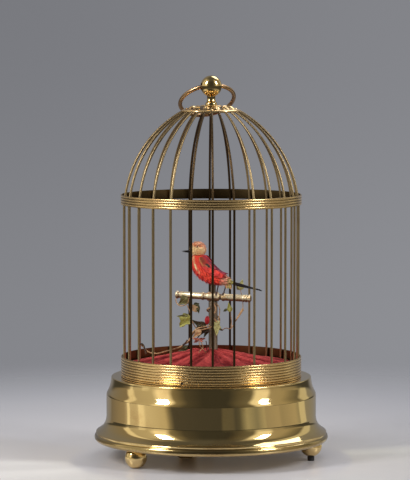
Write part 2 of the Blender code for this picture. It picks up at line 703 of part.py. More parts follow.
def perch_rod():
    """A turned rod with end knobs, a collar over the post's neck and two beads beside it."""
    half = PERCH_HALF_LENGTH
    right = [
        (0.0, half),
        (2.1 * MM, half - 0.3 * MM),
        (PERCH_BEAD_RADIUS, half - 1.5 * MM),
        (2.0 * MM, half - 2.8 * MM),
        (PERCH_RADIUS, half - 3.4 * MM),
        (PERCH_RADIUS, 9.0 * MM),
        (PERCH_BEAD_RADIUS, 8.4 * MM),
        (PERCH_BEAD_RADIUS, 7.2 * MM),
        (PERCH_RADIUS, 6.6 * MM),
        (PERCH_RADIUS, 4.4 * MM),
        (PERCH_COLLAR_RADIUS, 4.0 * MM),
    ]
    left = [(radius, -along) for radius, along in reversed(right)]
    perch = turned("perch_rod", right + left, GILT, steps=12)
    tip = Matrix.Rotation(math.radians(90.0 + PERCH_DROP), 4, "Y")
    perch.matrix_world = perch_frame() @ Matrix.Translation((0.0, 0.0, PERCH_HEIGHT)) @ tip
    hole_radius = POST_NECK_RADIUS + GAP
    low = Vector((POST_X, 0.0, PERCH_HEIGHT - 8 * MM))
    high = Vector((POST_X, 0.0, PERCH_HEIGHT + 8 * MM))
    drill = as_cutter(rod("perch_drill", low, high, hole_radius, STEEL, 16, CUTTERS))
    perch = boolean(perch, drill, "DIFFERENCE")
    below = Vector((POST_X, 0.0, PERCH_HEIGHT - PERCH_COLLAR_RADIUS - 2 * MM))
    spot = as_cutter(rod("spot_face", below, below + Vector((0, 0, 2 * MM)), 5 * MM, STEEL, 16, CUTTERS))
    rounded(boolean(perch, spot, "DIFFERENCE"))


# Vine


def leaf(name, base, tip, width, droop):
    """A pointed leaf, folded along its rib, from its base to its tip."""
    along = tip - base
    across = along.cross(Vector((0.0, 1.0, 0.25))).normalized()
    thick = along.cross(across).normalized()
    shape = bmesh.new()
    bmesh.ops.create_uvsphere(shape, u_segments=6, v_segments=6, radius=1.0)
    for vertex in shape.verts:
        where = (vertex.co.z + 1) / 2
        swell = math.sin(math.pi * where**0.75)
        side = vertex.co.x
        ring = math.sqrt(max(1.0 - vertex.co.z**2, 0.000001))
        spread = swell * side / ring
        bend = droop * (spread**2 * width + where * (where - 1) * along.length * 0.5)
        offset = across * spread * width + thick * (0.4 * MM * vertex.co.y + bend)
        vertex.co = base + along * where + offset
    bmesh.ops.recalc_face_normals(shape, faces=shape.faces)
    mesh = bpy.data.meshes.new(name)
    shape.to_mesh(mesh)
    shape.free()
    return add(name, mesh, CUTTERS)


def bud(name, centre, radius, stretch):
    """A closed flower, taller than wide."""
    shape = bmesh.new()
    bmesh.ops.create_uvsphere(shape, u_segments=8, v_segments=5, radius=radius)
    bmesh.ops.scale(shape, vec=(1.0, 1.0, stretch), verts=shape.verts)
    bmesh.ops.translate(shape, vec=centre, verts=shape.verts)
    mesh = bpy.data.meshes.new(name)
    shape.to_mesh(mesh)
    shape.free()
    return add(name, mesh, CUTTERS)


def smooth_path(points, steps):
    """Points on a Catmull-Rom curve through the given points."""
    ends = [points[0] * 2 - points[1]] + points + [points[-1] * 2 - points[-2]]
    path = []
    for index in range(1, len(ends) - 2):
        a, b, c, d = ends[index - 1 : index + 3]
        for step in range(steps):
            t = step / steps
            curve = (a * 2 - b * 5 + c * 4 - d) * t**2 + (b * 3 - a - c * 3 + d) * t**3
            path.append((b * 2 + (c - a) * t + curve) / 2)
    return path + [points[-1]]


def places(*triples):
    return [Vector(triple) * MM for triple in triples]


def stem_with_twigs():
    """The wired stem along the velvet and round the post, with its five twigs."""
    body = applied(tube("vine", smooth_path(places(*VINE_STEM), 2), VINE_STEM_RADIUS, LEAF_GREEN))
    for number, route in enumerate(VINE_TWIGS):
        path = smooth_path(places(*route), 2)
        twig = tube(f"twig_{number}", path, VINE_TWIG_RADIUS, LEAF_GREEN, collection=CUTTERS)
        body = boolean(body, applied(twig), "UNION")
    return body


def vine():
    """Stem and twigs with their leaves, a bud beside the post and a small flower below it."""
    body = stem_with_twigs()
    for number, (base, tip, width, droop) in enumerate(VINE_LEAVES):
        blade = leaf(f"leaf_{number}", Vector(base) * MM, Vector(tip) * MM, width * MM, droop)
        body = boolean(body, blade, "UNION")
    for number, (centre, radius, stretch) in enumerate(VINE_FLOWERS):
        flower = bud(f"bud_{number}", Vector(centre) * MM, radius * MM, stretch)
        body = boolean(body, flower, "UNION")
    finish(rounded(body), LEAF_GREEN)


# Bird


def along_stations(values, where):
    """A smooth value between evenly numbered stations, where runs from 0 to 1."""
    span = where * (len(values) - 1)
    index = min(int(span), len(values) - 2)
    t = span - index
    before = values[max(index - 1, 0)]
    start, end = values[index], values[index + 1]
    after = values[min(index + 2, len(values) - 1)]
    return (
        start * 2 + (end - before) * t + (before * 2 - start * 5 + end * 4 - after) * t**2
        + (start * 3 - before - end * 3 + after) * t**3
    ) / 2


def torso_point(where, angle, proud=0.0):
    """A point on the torso: where along it, and the angle round it from the back towards -Y."""
    spine = [Vector((x, 0.0, z)) * MM for x, z in TORSO_SPINE]
    middle = along_stations(spine, where)
    ahead = along_stations(spine, min(where + 0.02, 1.0)) - along_stations(spine, max(where - 0.02, 0.0))
    back = ahead.normalized().cross(Vector((0.0, 1.0, 0.0)))
    radius = max(along_stations(TORSO_RADII, where), 0.0) * MM
    side = Vector((0.0, -1.0, 0.0)) * (radius * TORSO_FLATNESS + proud) * math.sin(angle)
    return middle + back * (radius + proud) * math.cos(angle) + side


def torso():
    shape = bmesh.new()
    bmesh.ops.create_uvsphere(shape, u_segments=16, v_segments=14, radius=1.0)
    for vertex in shape.verts:
        where = math.acos(max(-1.0, min(1.0, vertex.co.z))) / math.pi
        vertex.co = torso_point(where, math.atan2(vertex.co.y, vertex.co.x))
    bmesh.ops.recalc_face_normals(shape, faces=shape.faces)
    mesh = bpy.data.meshes.new("bird_body")
    shape.to_mesh(mesh)
    shape.free()
    body = add("bird_body", mesh)
    neck = Vector((HEAD_CENTRE.x, 0.0, NECK_CUT + 10 * MM))
    above_neck = as_cutter(box("neck_cut", neck, (30 * MM, 30 * MM, 20 * MM), STEEL, CUTTERS))
    body = boolean(body, above_neck, "DIFFERENCE")
    low = Vector((0.0, 0.0, POST_TOP - 12 * MM))
    high = Vector((0.0, 0.0, POST_TOP + GAP))
    socket = rod("socket", low, high, POST_NECK_RADIUS + GAP, STEEL, 16, CUTTERS)
    return boolean(body, as_cutter(socket), "DIFFERENCE")


def perch_top(along, radius):
    """Height of the perch's upper side, in the bird's plane, where the perch has the given radius."""
    return PERCH_HEIGHT + radius - along * math.tan(math.radians(PERCH_DROP))


def bird_body():
    """Torso and legs in one casting: the feet stand on the perch and the post's neck enters the belly."""
    body = torso()
    for (place, perch_radius), side in zip(LEG_PLACES, (-1, 1)):
        hip = Vector((place, side * LEG_SPREAD, 130.5 * MM))
        foot = Vector((place, side * LEG_SPREAD * 0.3, perch_top(place, perch_radius) + 0.4 * MM))
        body = boolean(body, rod("leg", foot, hip, LEG_RADIUS, STEEL, 8, CUTTERS), "UNION")
    body.matrix_world = perch_frame()
    finish(rounded(body, 50.0), PLUMAGE_RED)


def wing(name, side):
    """A folded wing: a leaf-shaped patch laid on the torso, with its own thickness."""
    shape = bmesh.new()
    bmesh.ops.create_grid(shape, x_segments=9, y_segments=4, size=0.5)
    for vertex in shape.verts:
        down = vertex.co.x + 0.5
        where = WING_START + WING_LENGTH * down
        spread = WING_SPREAD * math.sin(math.pi * (0.12 + 0.82 * down)) ** 0.7
        angle = WING_ANGLE - WING_TURN * down + vertex.co.y * 2 * spread
        vertex.co = torso_point(where, side * angle, WING_PROUD + WING_TIP_LIFT * down)
    bmesh.ops.recalc_face_normals(shape, faces=shape.faces)
    mesh = bpy.data.meshes.new(name)
    shape.to_mesh(mesh)
    shape.free()
    obj = add(name, mesh)
    solidify = obj.modifiers.new("thickness", "SOLIDIFY")
    solidify.thickness = WING_THICKNESS
    solidify.offset = 1.0 if mesh_faces_out(mesh) else -1.0
    obj = applied(obj)
    obj.matrix_world = perch_frame()
    finish(rounded(obj, 60.0), PLUMAGE_WINE)


def mesh_faces_out(mesh):
    """Whether a wing patch's faces look away from the bird's plane."""
    return sum(face.normal.y * face.center.y for face in mesh.polygons) > 0


def bird_head():
    """Skull and upper beak: flat below, where the head turns on the neck."""
    shape = bmesh.new()
    bmesh.ops.create_uvsphere(shape, u_segments=14, v_segments=10, radius=1.0)
    bmesh.ops.scale(shape, vec=Vector(HEAD_RADII) * MM, verts=shape.verts)
    bmesh.ops.translate(shape, vec=HEAD_CENTRE, verts=shape.verts)
    mesh = bpy.data.meshes.new("bird_head")
    shape.to_mesh(mesh)
    shape.free()
    head = add("bird_head", mesh)
    under = Vector((HEAD_CENTRE.x, 0.0, NECK_CUT + GAP - 5 * MM))
    below_head = as_cutter(box("under_head", under, (20 * MM, 20 * MM, 10 * MM), STEEL, CUTTERS))
    head = boolean(head, below_head, "DIFFERENCE")
    tip = BEAK_ROOT + Vector((-BEAK_LENGTH, 0.0, -BEAK_DROP))
    head = boolean(head, spike("upper_beak", BEAK_ROOT, tip, BEAK_RADIUS, CUTTERS), "UNION")
    set_on_pivot(head, Vector((HEAD_CENTRE.x, 0.0, NECK_CUT)))
    finish(rounded(head, 50.0), PLUMAGE_CREAM)


def spike(name, root, tip, radius, collection=PARTS):
    """A tapered beak half."""
    shape = bmesh.new()
    length = (tip - root).length
    bmesh.ops.create_cone(shape, cap_ends=True, segments=8, radius1=radius, radius2=0.12 * MM, depth=length)
    mesh = bpy.data.meshes.new(name)
    shape.to_mesh(mesh)
    shape.free()
    obj = add(name, mesh, collection)
    turn = (tip - root).to_track_quat("Z", "Y").to_matrix().to_4x4()
    obj.matrix_world = Matrix.Translation((root + tip) / 2) @ turn
    return obj


def set_on_pivot(obj, pivot):
    """Puts the object's origin on its pivot, then into the bird's frame."""
    obj.data.transform(Matrix.Translation(-pivot) @ obj.matrix_world)
    obj.matrix_world = perch_frame() @ Matrix.Translation(pivot)


def lower_beak():
    tip = LOWER_BEAK_ROOT + Vector((-LOWER_BEAK_LENGTH, 0.0, LOWER_BEAK_RISE))
    beak = spike("lower_beak", LOWER_BEAK_ROOT, tip, LOWER_BEAK_RADIUS)
    set_on_pivot(beak, LOWER_BEAK_ROOT)
    finish(rounded(beak), PLUMAGE_BLACK)


def bird_tail():
    """Two narrow feathers laid as one blade, tapering from the rump."""
    slope = math.radians(TAIL_SLOPE)
    half = TAIL_ROOT_WIDTH / 2
    outline = [
        (0.0, -half), (TAIL_LENGTH * 0.55, -half * 0.75), (TAIL_LENGTH * 0.95, -half * 0.5),
        (TAIL_LENGTH, -half * 0.2), (TAIL_LENGTH * 0.96, 0.0), (TAIL_LENGTH, half * 0.2),
        (TAIL_LENGTH * 0.95, half * 0.5), (TAIL_LENGTH * 0.55, half * 0.75), (0.0, half),
    ]
    tail = flat("bird_tail", [outline], -TAIL_THICKNESS / 2, TAIL_THICKNESS, PLUMAGE_BLACK)
    tail.data.transform(Matrix.Rotation(slope, 4, "Y"))
    tail.matrix_world = perch_frame() @ Matrix.Translation(TAIL_ROOT)


def bird():
    bird_body()
    wing("wing_left", 1)
    wing("wing_right", -1)
    bird_head()
    lower_beak()
    bird_tail()


# Works


def gear_outline(teeth, towards, gap_there):
    """A toothed outline round its own centre, with a tooth or a gap in the given direction."""
    pitch_radius = MODULE * teeth / 2
    tip = pitch_radius + 0.8 * MODULE
    root = pitch_radius - 1.1 * MODULE
    step = 2 * math.pi / teeth
    start = math.radians(towards) + (step / 2 if gap_there else 0.0)
    points = []
    for tooth in range(teeth):
        middle = start + tooth * step
        for radius, share in ((root, -0.31), (tip, -0.12), (tip, 0.12), (root, 0.31)):
            angle = middle + share * step
            points.append((radius * math.cos(angle), radius * math.sin(angle)))
    return points


def wheel(name, place, outline, bore, bottom, look, collection=PARTS):
    """A toothed wheel with a round bore."""
    gear = flat(name, [outline, circle((0.0, 0.0), bore, 16)], bottom, WHEEL_THICKNESS, look, collection)
    gear.location += Vector((place.x, place.y, 0.0))
    return gear


def wheel_place(start, degrees, teeth_a, teeth_b):
    """The place of a wheel in mesh with another one."""
    return start + polar(MODULE * (teeth_a + teeth_b) / 2 + GEAR_BACKLASH, degrees)


CENTRE_PLACE = wheel_place(BARREL_PLACE, CENTRE_DIRECTION, BARREL_TEETH, CENTRE_PINION_TEETH)
FLY_PLACE = wheel_place(CENTRE_PLACE, FLY_DIRECTION, CENTRE_WHEEL_TEETH, FLY_PINION_TEETH)


def spring_barrel():
    """The mainspring's drum with the great wheel at its foot, free on the winding arbor."""
    bore = WINDING_ARBOR_RADIUS + 0.3 * MM
    top = GREAT_WHEEL_BOTTOM + DRUM_HEIGHT
    middle = GREAT_WHEEL_BOTTOM + WHEEL_THICKNESS / 2
    profile = [(bore, top), (DRUM_RADIUS, top), (DRUM_RADIUS, middle), (bore, middle)]
    drum = turned("drum", profile, BRASS, steps=24, closed=True, collection=CUTTERS)
    drum.location = BARREL_PLACE
    outline = gear_outline(BARREL_TEETH, CENTRE_DIRECTION, False)
    great = wheel("spring_barrel", BARREL_PLACE, outline, bore, GREAT_WHEEL_BOTTOM, BRASS)
    barrel = boolean(great, drum, "UNION")
    put_origin(barrel, BARREL_PLACE)
    finish(barrel, BRASS)


def put_origin(obj, place):
    """Moves the object's origin to a place without moving its shape."""
    obj.data.transform(Matrix.Translation(-place) @ obj.matrix_world)
    obj.matrix_world = Matrix.Translation(place)


def arbor(name, place, radius, bottom, top, look):
    """A round arbor through both frame plates."""
    foot = Vector((place.x, place.y, bottom))
    return rod(name, foot, Vector((place.x, place.y, top)), radius, look, 12)


def join_rings(obj, place, rings, sides):
    """Joins on solid discs of (radius, bottom, top) round a place."""
    for radius, bottom, top in rings:
        foot = Vector((place.x, place.y, bottom))
        disc = rod("disc", foot, Vector((place.x, place.y, top)), radius, BRASS, sides, CUTTERS)
        obj = boolean(obj, disc, "UNION")
    return obj


def joined_wheel(obj, place, teeth, towards, gap_there, bottom):
    outline = gear_outline(teeth, towards, gap_there)
    gear = flat("gear", [outline], bottom, WHEEL_THICKNESS, BRASS, CUTTERS)
    gear.location += Vector((place.x, place.y, 0.0))
    return boolean(obj, gear, "UNION")


def centre_wheel():
    """Pinion, cams and wheel on one arbor: the cams work the whistle, the beak and the tail."""
    place = CENTRE_PLACE
    staff = arbor("centre_wheel", place, ARBOR_RADIUS, ARBOR_BOTTOM, ARBOR_TOP, STEEL)
    pinion_bottom = GREAT_WHEEL_BOTTOM
    staff = joined_wheel(staff, place, CENTRE_PINION_TEETH, CENTRE_DIRECTION + 180, True, pinion_bottom)
    staff = joined_wheel(staff, place, CENTRE_WHEEL_TEETH, FLY_DIRECTION, False, CENTRE_WHEEL_BOTTOM)
    for number in range(3):
        off = polar(CAM_OFFSET, 140.0 * number)
        foot = Vector((place.x + off.x, place.y + off.y, CAM_BOTTOM + CAM_PITCH * number))
        cam = rod("cam", foot, foot + Vector((0, 0, CAM_THICKNESS)), CAM_RADIUS, BRASS, 14, CUTTERS)
        staff = boolean(staff, cam, "UNION")
    put_origin(staff, place)
    finish(staff, BRASS)


def fly():
    """The governor: a pinion and two vanes that beat the air."""
    place = FLY_PLACE
    staff = arbor("fly", place, ARBOR_RADIUS, ARBOR_BOTTOM, ARBOR_TOP, STEEL)
    staff = joined_wheel(
        staff, place, FLY_PINION_TEETH, FLY_DIRECTION + 180, True, CENTRE_WHEEL_BOTTOM
    )
    vane = box("vane", place + Vector((0, 0, FLY_VANE_HEIGHT)), FLY_VANE, BRASS, CUTTERS)
    staff = boolean(staff, vane, "UNION")
    put_origin(staff, place)
    finish(staff, STEEL)


def winding_key():
    """A winged grip below the base on an arbor that runs up through the barrel."""
    top = UPPER_FRAME_BOTTOM + FRAME_THICKNESS + 1.0 * MM
    shaft = arbor("winding_key", BARREL_PLACE, WINDING_ARBOR_RADIUS, 8.0 * MM, top, STEEL)
    half = KEY_GRIP_WIDTH / 2
    low, high = KEY_GRIP_BOTTOM, KEY_GRIP_TOP
    middle = (low + high) / 2
    outline = [
        (-half * 0.55, low), (half * 0.55, low), (half * 0.92, low + 1.6 * MM), (half, middle),
        (half * 0.9, high - 1.8 * MM), (half * 0.5, high - 0.6 * MM), (2.4 * MM, high),
        (-2.4 * MM, high), (-half * 0.5, high - 0.6 * MM), (-half * 0.9, high - 1.8 * MM),
        (-half, middle), (-half * 0.92, low + 1.6 * MM),
    ]
    grip = flat("grip", [outline], -1.2 * MM, 2.4 * MM, STEEL, CUTTERS)
    grip.data.transform(Matrix.Rotation(math.radians(90.0), 4, "X"))
    grip.location = BARREL_PLACE
    key = boolean(shaft, grip, "UNION")
    put_origin(key, BARREL_PLACE)
    finish(key, BRASS)


def frame_holes():
    """Clearance holes for the three arbors in a frame plate."""
    return [
        circle(BARREL_PLACE, WINDING_ARBOR_RADIUS + 0.45 * MM, 12),
        circle(CENTRE_PLACE, ARBOR_RADIUS + 0.35 * MM, 12),
        circle(FLY_PLACE, ARBOR_RADIUS + 0.35 * MM, 12),
    ]


def movement_frame():
    """Two plates held apart by four pillars."""
    half_x, half_y = FRAME_SIZE[0] / 2, FRAME_SIZE[1] / 2
    outline = [(FRAME_CENTRE.x + x * half_x, FRAME_CENTRE.y + y * half_y) for x, y in FRAME_CORNERS]
    frame = flat("movement_frame", [outline] + frame_holes(), LOWER_FRAME_BOTTOM, FRAME_THICKNESS, BRASS)
    upper = flat("upper", [outline] + frame_holes(), UPPER_FRAME_BOTTOM, FRAME_THICKNESS, BRASS, CUTTERS)
    for x, y in ((-1, -1), (1, -1), (1, 1), (-1, 1)):
        spot = FRAME_CENTRE + Vector((x * (half_x - PILLAR_INSET), y * (half_y - PILLAR_INSET), 0.0))
        foot = spot + Vector((0, 0, PLATE_BOTTOM + PLATE_THICKNESS + GAP))
        top = spot + Vector((0, 0, UPPER_FRAME_BOTTOM + 1.0 * MM))
        frame = boolean(frame, rod("pillar", foot, top, PILLAR_RADIUS, BRASS, 8, CUTTERS), "UNION")
    frame = boolean(frame, upper, "UNION")
    finish(frame, BRASS)


def bellows():
    """A leather wedge on the upper frame plate, and the hinged board that pumps it."""
    low = UPPER_FRAME_BOTTOM + FRAME_THICKNESS + GAP
    outline = [
        (BELLOWS_HINGE_X, low), (BELLOWS_TIP_X, low),
        (BELLOWS_TIP_X, low + BELLOWS_TIP_RISE), (BELLOWS_HINGE_X, low + BELLOWS_HINGE_RISE),
    ]
    width = BELLOWS_BACK_Y - BELLOWS_FRONT_Y
    middle_y = (BELLOWS_FRONT_Y + BELLOWS_BACK_Y) / 2
    wedge = flat("bellows", [outline], -width / 2, width, LEATHER)
    wedge.data.transform(Matrix.Rotation(math.radians(90.0), 4, "X"))
    wedge.location = (0.0, middle_y, 0.0)
    slope = math.atan2(BELLOWS_TIP_RISE - BELLOWS_HINGE_RISE, BELLOWS_TIP_X - BELLOWS_HINGE_X)
    lid = box("bellows_lid", Vector(), BELLOWS_BOARD, LEATHER)
    lid.data.transform(Matrix.Translation((BELLOWS_BOARD[0] / 2, 0.0, BELLOWS_BOARD[2] / 2)))
    lid.data.transform(Matrix.Rotation(-slope, 4, "Y"))
    lid.location = (BELLOWS_HINGE_X, middle_y, low + BELLOWS_HINGE_RISE + GAP)


def whistle():
    """A piston whistle: an open tube with a mouth cut in its side, and the piston that slides in it."""
    profile = [
        (WHISTLE_BORE, WHISTLE_LENGTH), (WHISTLE_RADIUS, WHISTLE_LENGTH),
        (WHISTLE_RADIUS, 0.0), (WHISTLE_BORE, 0.0),
    ]
    pipe = turned("whistle_tube", profile, BRASS, steps=20, closed=True)
    lay = Matrix.Rotation(math.radians(90.0), 4, "Y")
    pipe.matrix_world = Matrix.Translation(WHISTLE_START) @ lay
    mouth = WHISTLE_START + Vector((WHISTLE_LENGTH - 6 * MM, 0.0, WHISTLE_RADIUS))
    cutter = as_cutter(box("mouth", mouth, WHISTLE_MOUTH, STEEL, CUTTERS))
    rounded(boolean(pipe, cutter, "DIFFERENCE"))
    rod_start = WHISTLE_START - Vector((9 * MM, 0.0, 0.0))
    rod_end = WHISTLE_START + Vector((6 * MM, 0.0, 0.0))
    piston = rod("whistle_piston", rod_start, rod_end, 1.0 * MM, STEEL, 10)
    face = WHISTLE_START + Vector((PISTON_HEAD_LENGTH, 0.0, 0.0))
    end = face + Vector((PISTON_HEAD_LENGTH, 0.0, 0.0))
    head = rod("piston_head", face, end, WHISTLE_BORE - 0.35 * MM, STEEL, 20, CUTTERS)
    finish(boolean(piston, head, "UNION"), STEEL)


def stop_lever():
    """The start and stop knob: a waisted stud that slides in the bottom plate's slot."""
    top = PLATE_BOTTOM + PLATE_THICKNESS
    profile = [
        (0.0, top + 1.6 * MM),
        (3.6 * MM, top + 1.6 * MM),
        (3.6 * MM, top + GAP),
        (1.9 * MM, top + GAP),
        (1.9 * MM, PLATE_BOTTOM - GAP),
        (3.9 * MM, PLATE_BOTTOM - GAP),
        (3.9 * MM, PLATE_BOTTOM - 3.4 * MM),
        (3.2 * MM, PLATE_BOTTOM - 4.4 * MM),
        (0.0, PLATE_BOTTOM - 4.4 * MM),
    ]
    lever = turned("stop_lever", profile, BRASS, steps=12)
    lever.location = STOP_LEVER_PLACE - Vector((STOP_LEVER_TRAVEL / 2, 0.0, 0.0))


def works():
    movement_frame()
    spring_barrel()
    centre_wheel()
    fly()
    winding_key()
    bellows()
    whistle()
    stop_lever()


def build():
    clear_scene()
    base_shell()
    bottom_plate()
    feet()
    cage()
    rosette()
    crown_nut()
    finial()
    carry_ring()
    velvet_floor()
    perch_post()
    pull_wire()
    perch_rod()
    vine()
    bird()
    works()
    for obj in list(CUTTERS.objects):
        bpy.data.objects.remove(obj)


build()
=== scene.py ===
# %% [markdown]
# # A singing bird automaton
# A clockwork bird sings on a perch inside a domed brass cage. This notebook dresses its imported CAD
# model: each step first says what a piece is on the real object and how it can be made in Blender,
# then makes it. Sizes are real ones, in millimetres, and the cage's axis is the Z axis.

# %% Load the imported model
import math
import random

import bmesh
import bpy
from mathutils import Matrix, Vector, noise


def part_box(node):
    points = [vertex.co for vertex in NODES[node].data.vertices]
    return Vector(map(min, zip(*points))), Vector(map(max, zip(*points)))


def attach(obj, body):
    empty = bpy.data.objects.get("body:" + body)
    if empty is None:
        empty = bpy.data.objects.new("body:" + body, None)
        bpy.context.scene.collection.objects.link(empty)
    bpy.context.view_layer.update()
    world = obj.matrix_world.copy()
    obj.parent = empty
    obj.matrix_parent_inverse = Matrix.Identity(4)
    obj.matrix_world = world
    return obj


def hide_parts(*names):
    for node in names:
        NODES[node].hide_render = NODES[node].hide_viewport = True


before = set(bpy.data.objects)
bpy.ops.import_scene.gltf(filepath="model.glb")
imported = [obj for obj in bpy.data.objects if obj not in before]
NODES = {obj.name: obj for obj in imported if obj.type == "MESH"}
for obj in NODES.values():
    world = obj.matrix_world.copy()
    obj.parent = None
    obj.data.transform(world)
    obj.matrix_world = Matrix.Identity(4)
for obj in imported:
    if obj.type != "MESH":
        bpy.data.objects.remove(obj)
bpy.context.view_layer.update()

MM = 0.001

# %% [markdown]
# ## Camera
# The photograph looks down a little, from about two metres away with a long lens. Three facts fix the
# camera: its distance and height, worked out from how round the bands look, and the picture rows of the
# foot and the top of the cage. The tilt that gives those two rows is found by halving an interval.

# %% Camera
IMAGE_WIDTH, IMAGE_HEIGHT = 410, 480
CAMERA_DISTANCE = 1.98
CAMERA_HEIGHT = 0.318
CAGE_HEIGHT = 0.28
FOOT_ROW, TOP_ROW = 456.4, 75.4
AXIS_COLUMN = 211.2
SENSOR_WIDTH = 36.0
STEEPEST_TILT = math.radians(8.5)
HALVINGS = 40


def focal_length(pitch):
    """The focal length, in picture rows, that puts the foot on its row, and where the top then lies."""
    foot = math.tan(math.atan2(CAMERA_HEIGHT, CAMERA_DISTANCE) - pitch)
    top = math.tan(math.atan2(CAMERA_HEIGHT - CAGE_HEIGHT, CAMERA_DISTANCE) - pitch)
    focal = (FOOT_ROW - IMAGE_HEIGHT / 2) / foot
    return focal, IMAGE_HEIGHT / 2 + focal * top


low, high = 0.0, STEEPEST_TILT
for _ in range(HALVINGS):
    pitch = (low + high) / 2
    if focal_length(pitch)[1] > TOP_ROW:
        low = pitch
    else:
        high = pitch
focal, _ = focal_length(pitch)
pan = math.atan2(AXIS_COLUMN - IMAGE_WIDTH / 2, focal)

camera_data = bpy.data.cameras.new("camera")
camera_data.sensor_width = SENSOR_WIDTH
camera_data.lens = SENSOR_WIDTH * focal / IMAGE_HEIGHT
camera_data.clip_end = 50.0
camera = bpy.data.objects.new("camera", camera_data)
camera.location = (0.0, -CAMERA_DISTANCE, CAMERA_HEIGHT)
camera.rotation_euler = (math.radians(90) - pitch, 0.0, pan)
bpy.context.scene.collection.objects.link(camera)
bpy.context.scene.camera = camera
bpy.context.scene.view_settings.view_transform = "Standard"
print(f"pitch {math.degrees(pitch):.2f} degrees, lens {camera_data.lens:.0f} mm")

# %% [markdown]
# ## A small language for materials
# A material is a tree of nodes, and long trees are hard to read. The class `Value` wraps one socket, so
# that `1 - mask * 0.3` adds the Math nodes itself. `Finish` holds one material. Its `node` method makes
# any other node, with the settings first and then the values or links of the sockets.


# %% Values and finishes
class Value:
    """One socket that can be used in sums."""

    def __init__(self, finish, socket):
        self.finish = finish
        self.socket = socket

    def math(self, operation, other, swapped=False):
        first, second = (other, self) if swapped else (self, other)
        return self.finish.node("ShaderNodeMath", {"operation": operation}, {0: first, 1: second})

    def __add__(self, other):
        return self.math("ADD", other)

    def __sub__(self, other):
        return self.math("SUBTRACT", other)

    def __rsub__(self, other):
        return self.math("SUBTRACT", other, True)

    def __mul__(self, other):
        return self.math("MULTIPLY", other)

    def __truediv__(self, other):
        return self.math("DIVIDE", other)

    def __pow__(self, other):
        return self.math("POWER", other)

    __radd__ = __add__
    __rmul__ = __mul__


class Finish:
    """One material or world in the making."""

    def __init__(self, owner):
        owner.use_nodes = True
        self.owner = owner
        self.tree = owner.node_tree

    def node(self, kind, settings, inputs, output=0):
        made = self.tree.nodes.new(kind)
        for name, setting in settings.items():
            if name == "stops":
                stops = made.color_ramp.elements
                while len(stops) < len(setting):
                    stops.new(1.0)
                for stop, (position, colour) in zip(stops, setting):
                    stop.position, stop.color = position, colour
            else:
                setattr(made, name, setting)
        for name, value in inputs.items():
            self.feed(made.inputs[name], value)
        return Value(self, made.outputs[output])

    def feed(self, socket, value):
        if isinstance(value, Value):
            self.tree.links.new(value.socket, socket)
        else:
            socket.default_value = value

    def shader(self, **sockets):
        """Sets sockets of the Principled shader: numbers and colours as they are, values as links."""
        inputs = self.tree.nodes["Principled BSDF"].inputs
        for socket in inputs:
            name = socket.name.lower().replace(" ", "_")
            if name in sockets:
                self.feed(socket, sockets[name])
        return self.owner

    def place(self):
        return self.node("ShaderNodeTexCoord", {}, {}, "Object")

    def split(self, vector):
        made = self.node("ShaderNodeSeparateXYZ", {}, {0: vector})
        return [Value(self, socket) for socket in made.socket.node.outputs]

    def noise(self, vector, scale, detail=3.0):
        inputs = {"Vector": vector, "Scale": scale, "Detail": detail}
        return self.node("ShaderNodeTexNoise", {}, inputs, "Fac")

    def between(self, value, low, high):
        """0 below low, 1 above high, and a smooth rise between them."""
        settings = {"interpolation_type": "SMOOTHSTEP"}
        return self.node("ShaderNodeMapRange", settings, {"Value": value, 1: low, 2: high})

    def blend(self, factor, first, second):
        inputs = {0: factor, 6: first, 7: second}
        return self.node("ShaderNodeMix", {"data_type": "RGBA"}, inputs, 2)

    def attribute(self, name, output="Fac"):
        return self.node("ShaderNodeAttribute", {"attribute_name": name}, {}, output)

    def bump(self, height, strength, depth):
        inputs = {"Strength": strength, "Distance": depth, "Height": height}
        return self.node("ShaderNodeBump", {}, inputs, "Normal")


def colour(red, green, blue):
    """A colour as a screen shows it, from 0 to 255, turned into the linear light that shaders use."""
    parts = [level / 255 for level in (red, green, blue)]
    linear = [p / 12.92 if p <= 0.04045 else ((p + 0.055) / 1.055) ** 2.4 for p in parts]
    return (*linear, 1.0)


BLACK = (0.0, 0.0, 0.0, 1.0)
print("material helpers ready")

# %% [markdown]
# ## Studio
# Polished brass has almost no colour of its own: it shows the room. So the room matters as much as the
# brass. Round the cage the room is a list of tones by compass angle: dark behind the camera, a bright
# screen on the left, a dimmer one on the right and the grey backdrop behind. One list is for low
# directions and one for higher ones. The low one also paints a ring that lies on the table, which only
# reflections see. What is level with the cage stays dark, so the upright wires go nearly black, as in
# the photograph.

